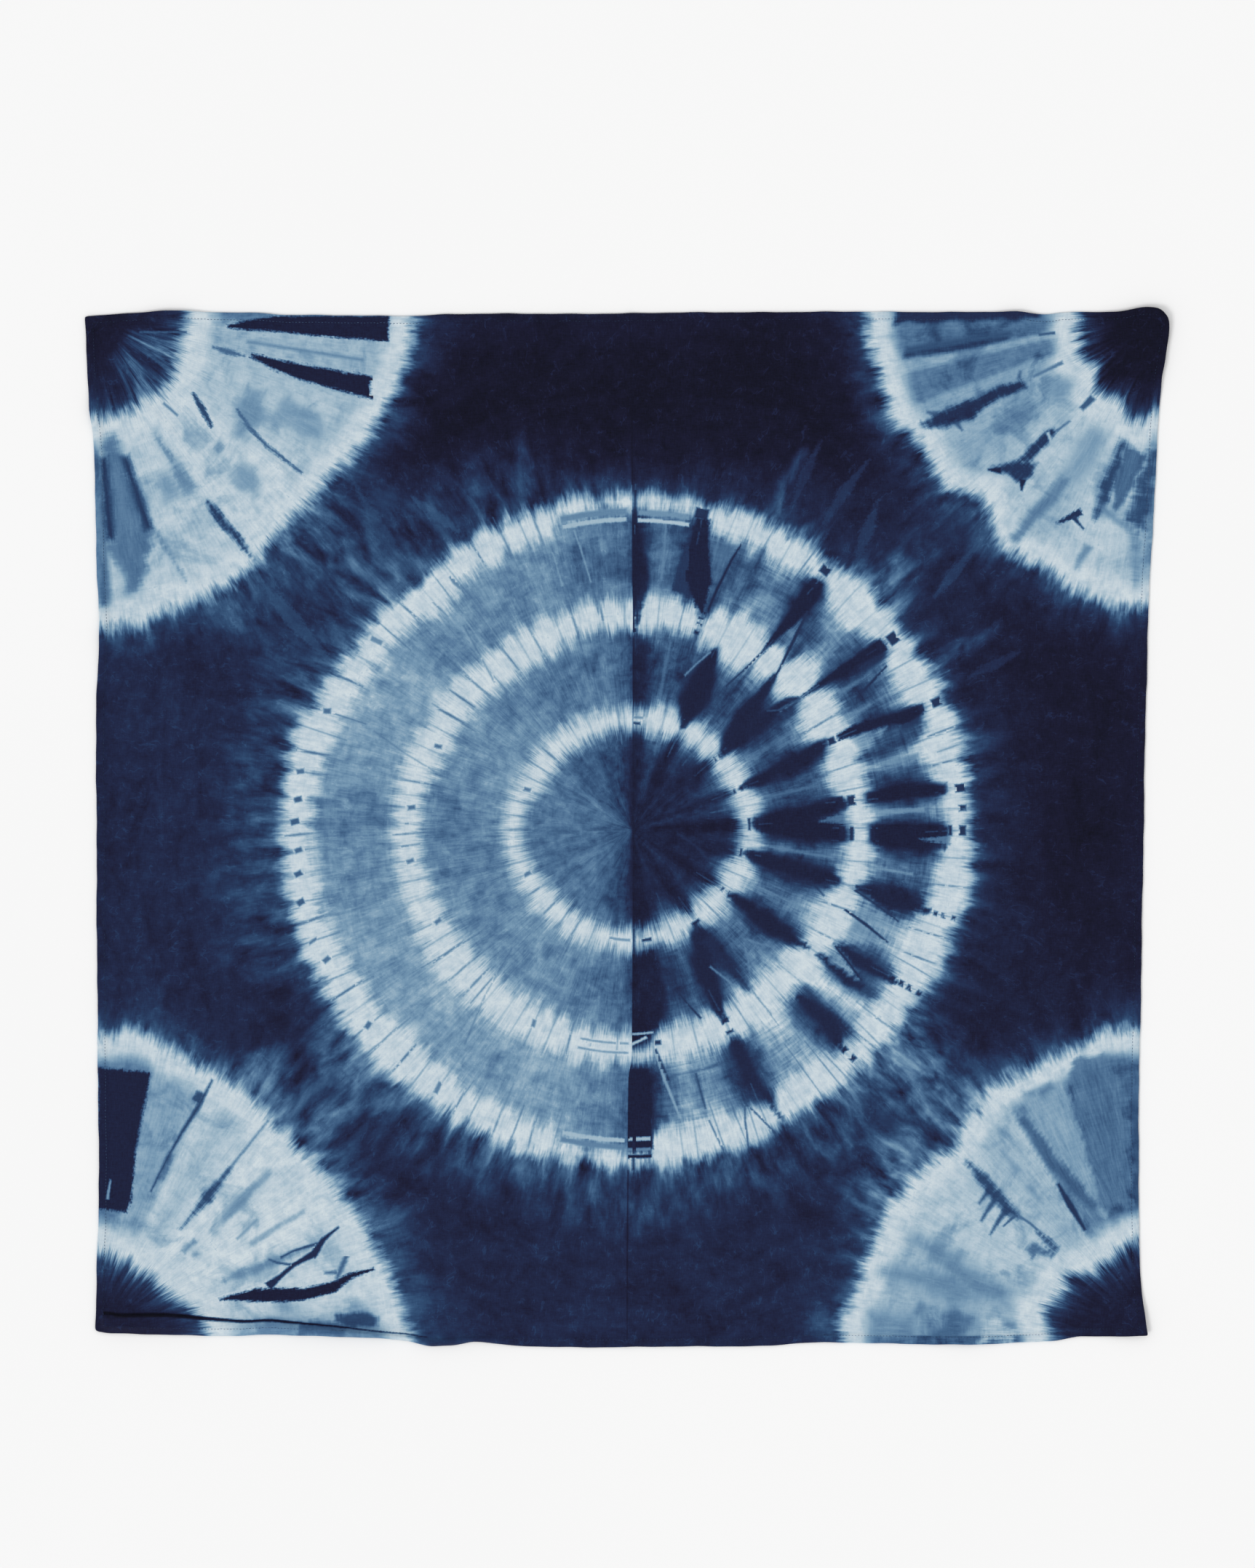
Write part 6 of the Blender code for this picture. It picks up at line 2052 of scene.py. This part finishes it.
@dataclass
class HemStitching:
    """The running stitches that hold the turned-in hem, all joined as one piece."""

    lie: Lie
    dye: Dye
    pitch: float = 2.7
    length: float = 1.8
    width: float = 0.5
    depth: float = 0.34
    sink: float = 0.22
    level_run: float = 890.0
    upright_run: float = 863.0
    spacing: float = 4.0
    seed: int = 11

    def stations(self) -> Iterator[tuple[float, float, float]]:
        """Yield each stitch's share across and up, and 1 where it runs along the width or 0."""
        inset_x, inset_y = self.lie.stitch_inset / HALF_WIDTH, self.lie.stitch_inset / WHOLE_HEIGHT
        for level in (inset_y, 1.0 - inset_y):
            for number in range(round(self.level_run / self.pitch)):
                yield -1.0 + inset_x + (number + 0.5) * self.pitch / HALF_WIDTH, level, 1.0
        for upright in (-1.0 + inset_x, 1.0 - inset_x):
            for number in range(round(self.upright_run / self.pitch)):
                yield upright, inset_y + (number + 0.5) * self.pitch / WHOLE_HEIGHT, 0.0

    def copies(self, count: int) -> bmesh.types.BMesh:
        """Make a row of unit stitches by doubling it again and again.

        Args:
            count: how many.

        Returns:
            Their mesh, each with its middle at its number times the spacing along X.
        """
        shape = bmesh.new()
        bmesh.ops.create_uvsphere(shape, u_segments=6, v_segments=4, radius=1.0)
        made = 1
        while made < count:
            extra = min(made, count - made)
            limit = (extra - 0.5) * self.spacing
            chosen = [vertex for vertex in shape.verts if vertex.co.x < limit]
            faces = [face for face in shape.faces if face.calc_center_median().x < limit]
            edges = {edge for face in faces for edge in face.edges}
            copied = bmesh.ops.duplicate(shape, geom=[*chosen, *edges, *faces])["geom"]
            moved = [item for item in copied if isinstance(item, bmesh.types.BMVert)]
            bmesh.ops.translate(shape, vec=(made * self.spacing, 0.0, 0.0), verts=moved)
            made += extra
        return shape

    def build(self) -> bpy.types.Object:
        """Build the stitching."""
        chance = np.random.default_rng(self.seed)
        across, up, level = np.array(list(self.stations())).T
        x, y = self.lie.place(across, up)
        ahead_x, ahead_y = self.lie.place(across + level * 0.0022, up + (1.0 - level) * 0.0011)
        height = self.lie.top(x, y)
        jitter = chance.normal(0.0, 1.0, (len(x), 3))
        run = np.column_stack([ahead_x - x, ahead_y - y, self.lie.top(ahead_x, ahead_y) - height])
        run /= np.linalg.norm(run, axis=1)[:, None]
        over = np.column_stack([-run[:, 1], run[:, 0], np.zeros(len(x))])
        over /= np.linalg.norm(over, axis=1)[:, None]
        spots = np.column_stack([x, y, height + self.depth * self.sink]) + over * 0.12 * jitter[:, 1:2]
        stitching = new_piece("hem_stitching", self.copies(len(x)), CottonThread().make())
        unit = read_places(stitching.data)
        number = np.rint(unit[:, 0] / self.spacing).astype(int)
        length = self.length * (1.0 + 0.1 * jitter[number, 0]) / 2.0
        forward = ((unit[:, 0] - number * self.spacing) * length)[:, None] * run[number]
        sideways = (unit[:, 1] * self.width / 2.0)[:, None] * over[number]
        upward = (unit[:, 2] * self.depth / 2.0)[:, None] * np.cross(run, over)[number]
        write_places(stitching.data, spots[number] + forward + sideways + upward)
        fields = self.dye.fields(x, y, np.where(across < 0.0, -1, 1))
        cloth_tone = np.where(fields["band"] > 0.0, fields["pale"], fields["ground"] + fields["glow"])
        tone = np.clip(0.1 + 0.55 * cloth_tone + 0.06 * jitter[:, 2], 0.0, 1.0)
        write_numbers(stitching.data, "thread_tone", "POINT", tone[number])
        return stitching


@dataclass
class Studio:
    """The plain pale floor, the soft light and the camera straight above the cloth."""

    camera_height: float = 3.2
    sensor: float = 36.0
    floor_half: float = 7.0
    floor_drop: float = 0.0004
    floor_colours: tuple[tuple[int, int, int], ...] = ((247, 247, 247), (248, 248, 248))
    sky_strength: float = 0.8
    key_share: float = 0.2
    key_softness: float = 22.0
    key_slope: float = 48.0
    key_side: tuple[float, float] = (-0.8, -0.6)

    def build(self) -> None:
        """Build the floor, the lights and the camera."""
        self.lay_floor()
        self.light()
        self.aim_camera()
        scene = bpy.context.scene
        scene.view_settings.view_transform = "Standard"
        scene.view_settings.look = "None"

    def lay_floor(self) -> None:
        """Lay the floor and mark it as no part of the object."""
        material = bpy.data.materials.new("pale_floor")
        bench = Bench(material)
        cloud = bench.noise(bench.node("TexCoord").outputs["Object"], 1.5)
        colour = bench.ramp(cloud, tuple(zip((0.3, 0.7), self.floor_colours)))
        bench.feed_named(bench.shader, {"Base Color": colour, "Roughness": 1.0, "Specular IOR Level": 0.0})
        shape = bmesh.new()
        bmesh.ops.create_grid(shape, x_segments=2, y_segments=2, size=self.floor_half)
        bmesh.ops.translate(shape, vec=(0.0, 0.0, -self.floor_drop), verts=shape.verts)
        new_piece("floor", shape, material)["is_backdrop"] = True

    def light(self) -> None:
        """Fill the studio with even light and add a broad soft key from the lower left."""
        world = bpy.data.worlds.new("studio")
        bpy.context.scene.world = world
        world.use_nodes = True
        back = world.node_tree.nodes["Background"]
        back.inputs["Color"].default_value = (1.0, 1.0, 1.0, 1.0)
        back.inputs["Strength"].default_value = self.sky_strength
        slope = math.radians(self.key_slope)
        sun = bpy.data.lights.new("soft_key", "SUN")
        sun.angle = math.radians(self.key_softness)
        sun.energy = math.pi * self.key_share / math.cos(slope)
        lamp = bpy.data.objects.new("soft_key", sun)
        toward = Vector((*self.key_side, 0.0)) * math.sin(slope) + Vector((0.0, 0.0, math.cos(slope)))
        lamp.rotation_euler = toward.to_track_quat("Z", "Y").to_euler()
        lamp.location = toward * 3.0
        bpy.context.scene.collection.objects.link(lamp)

    def aim_camera(self) -> None:
        """Set the camera where the photograph's was: straight above, looking down."""
        lens = bpy.data.cameras.new("overhead")
        lens.sensor_fit = "VERTICAL"
        lens.sensor_height = self.sensor
        lens.sensor_width = self.sensor * IMAGE_WIDTH / IMAGE_HEIGHT
        lens.lens = self.sensor * self.camera_height / (IMAGE_HEIGHT * MM_PER_PIXEL * MM)
        lens.clip_end = 60.0
        camera = bpy.data.objects.new("overhead", lens)
        camera.location = (VIEW_CENTRE[0] * MM, VIEW_CENTRE[1] * MM, self.camera_height)
        bpy.context.scene.collection.objects.link(camera)
        bpy.context.scene.camera = camera


def main() -> None:
    logging.basicConfig(level=logging.INFO, format="%(name)s: %(message)s")
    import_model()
    cad_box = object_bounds()
    Studio().build()
    lie, dye = Lie(), Dye()
    cloth = WrappingCloth(lie, dye).build()
    stitching = HemStitching(lie, dye).build()
    for piece in (cloth, stitching):
        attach(piece, "root")
        LOG.info("%s: %d faces", piece.name, len(piece.data.polygons))
    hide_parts("cloth")
    boxes = {"cad": cad_box, "visual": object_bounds()}
    json.dumps({name: [list(corner) for corner in box] for name, box in boxes.items()})


if __name__ == "__main__":
    main()
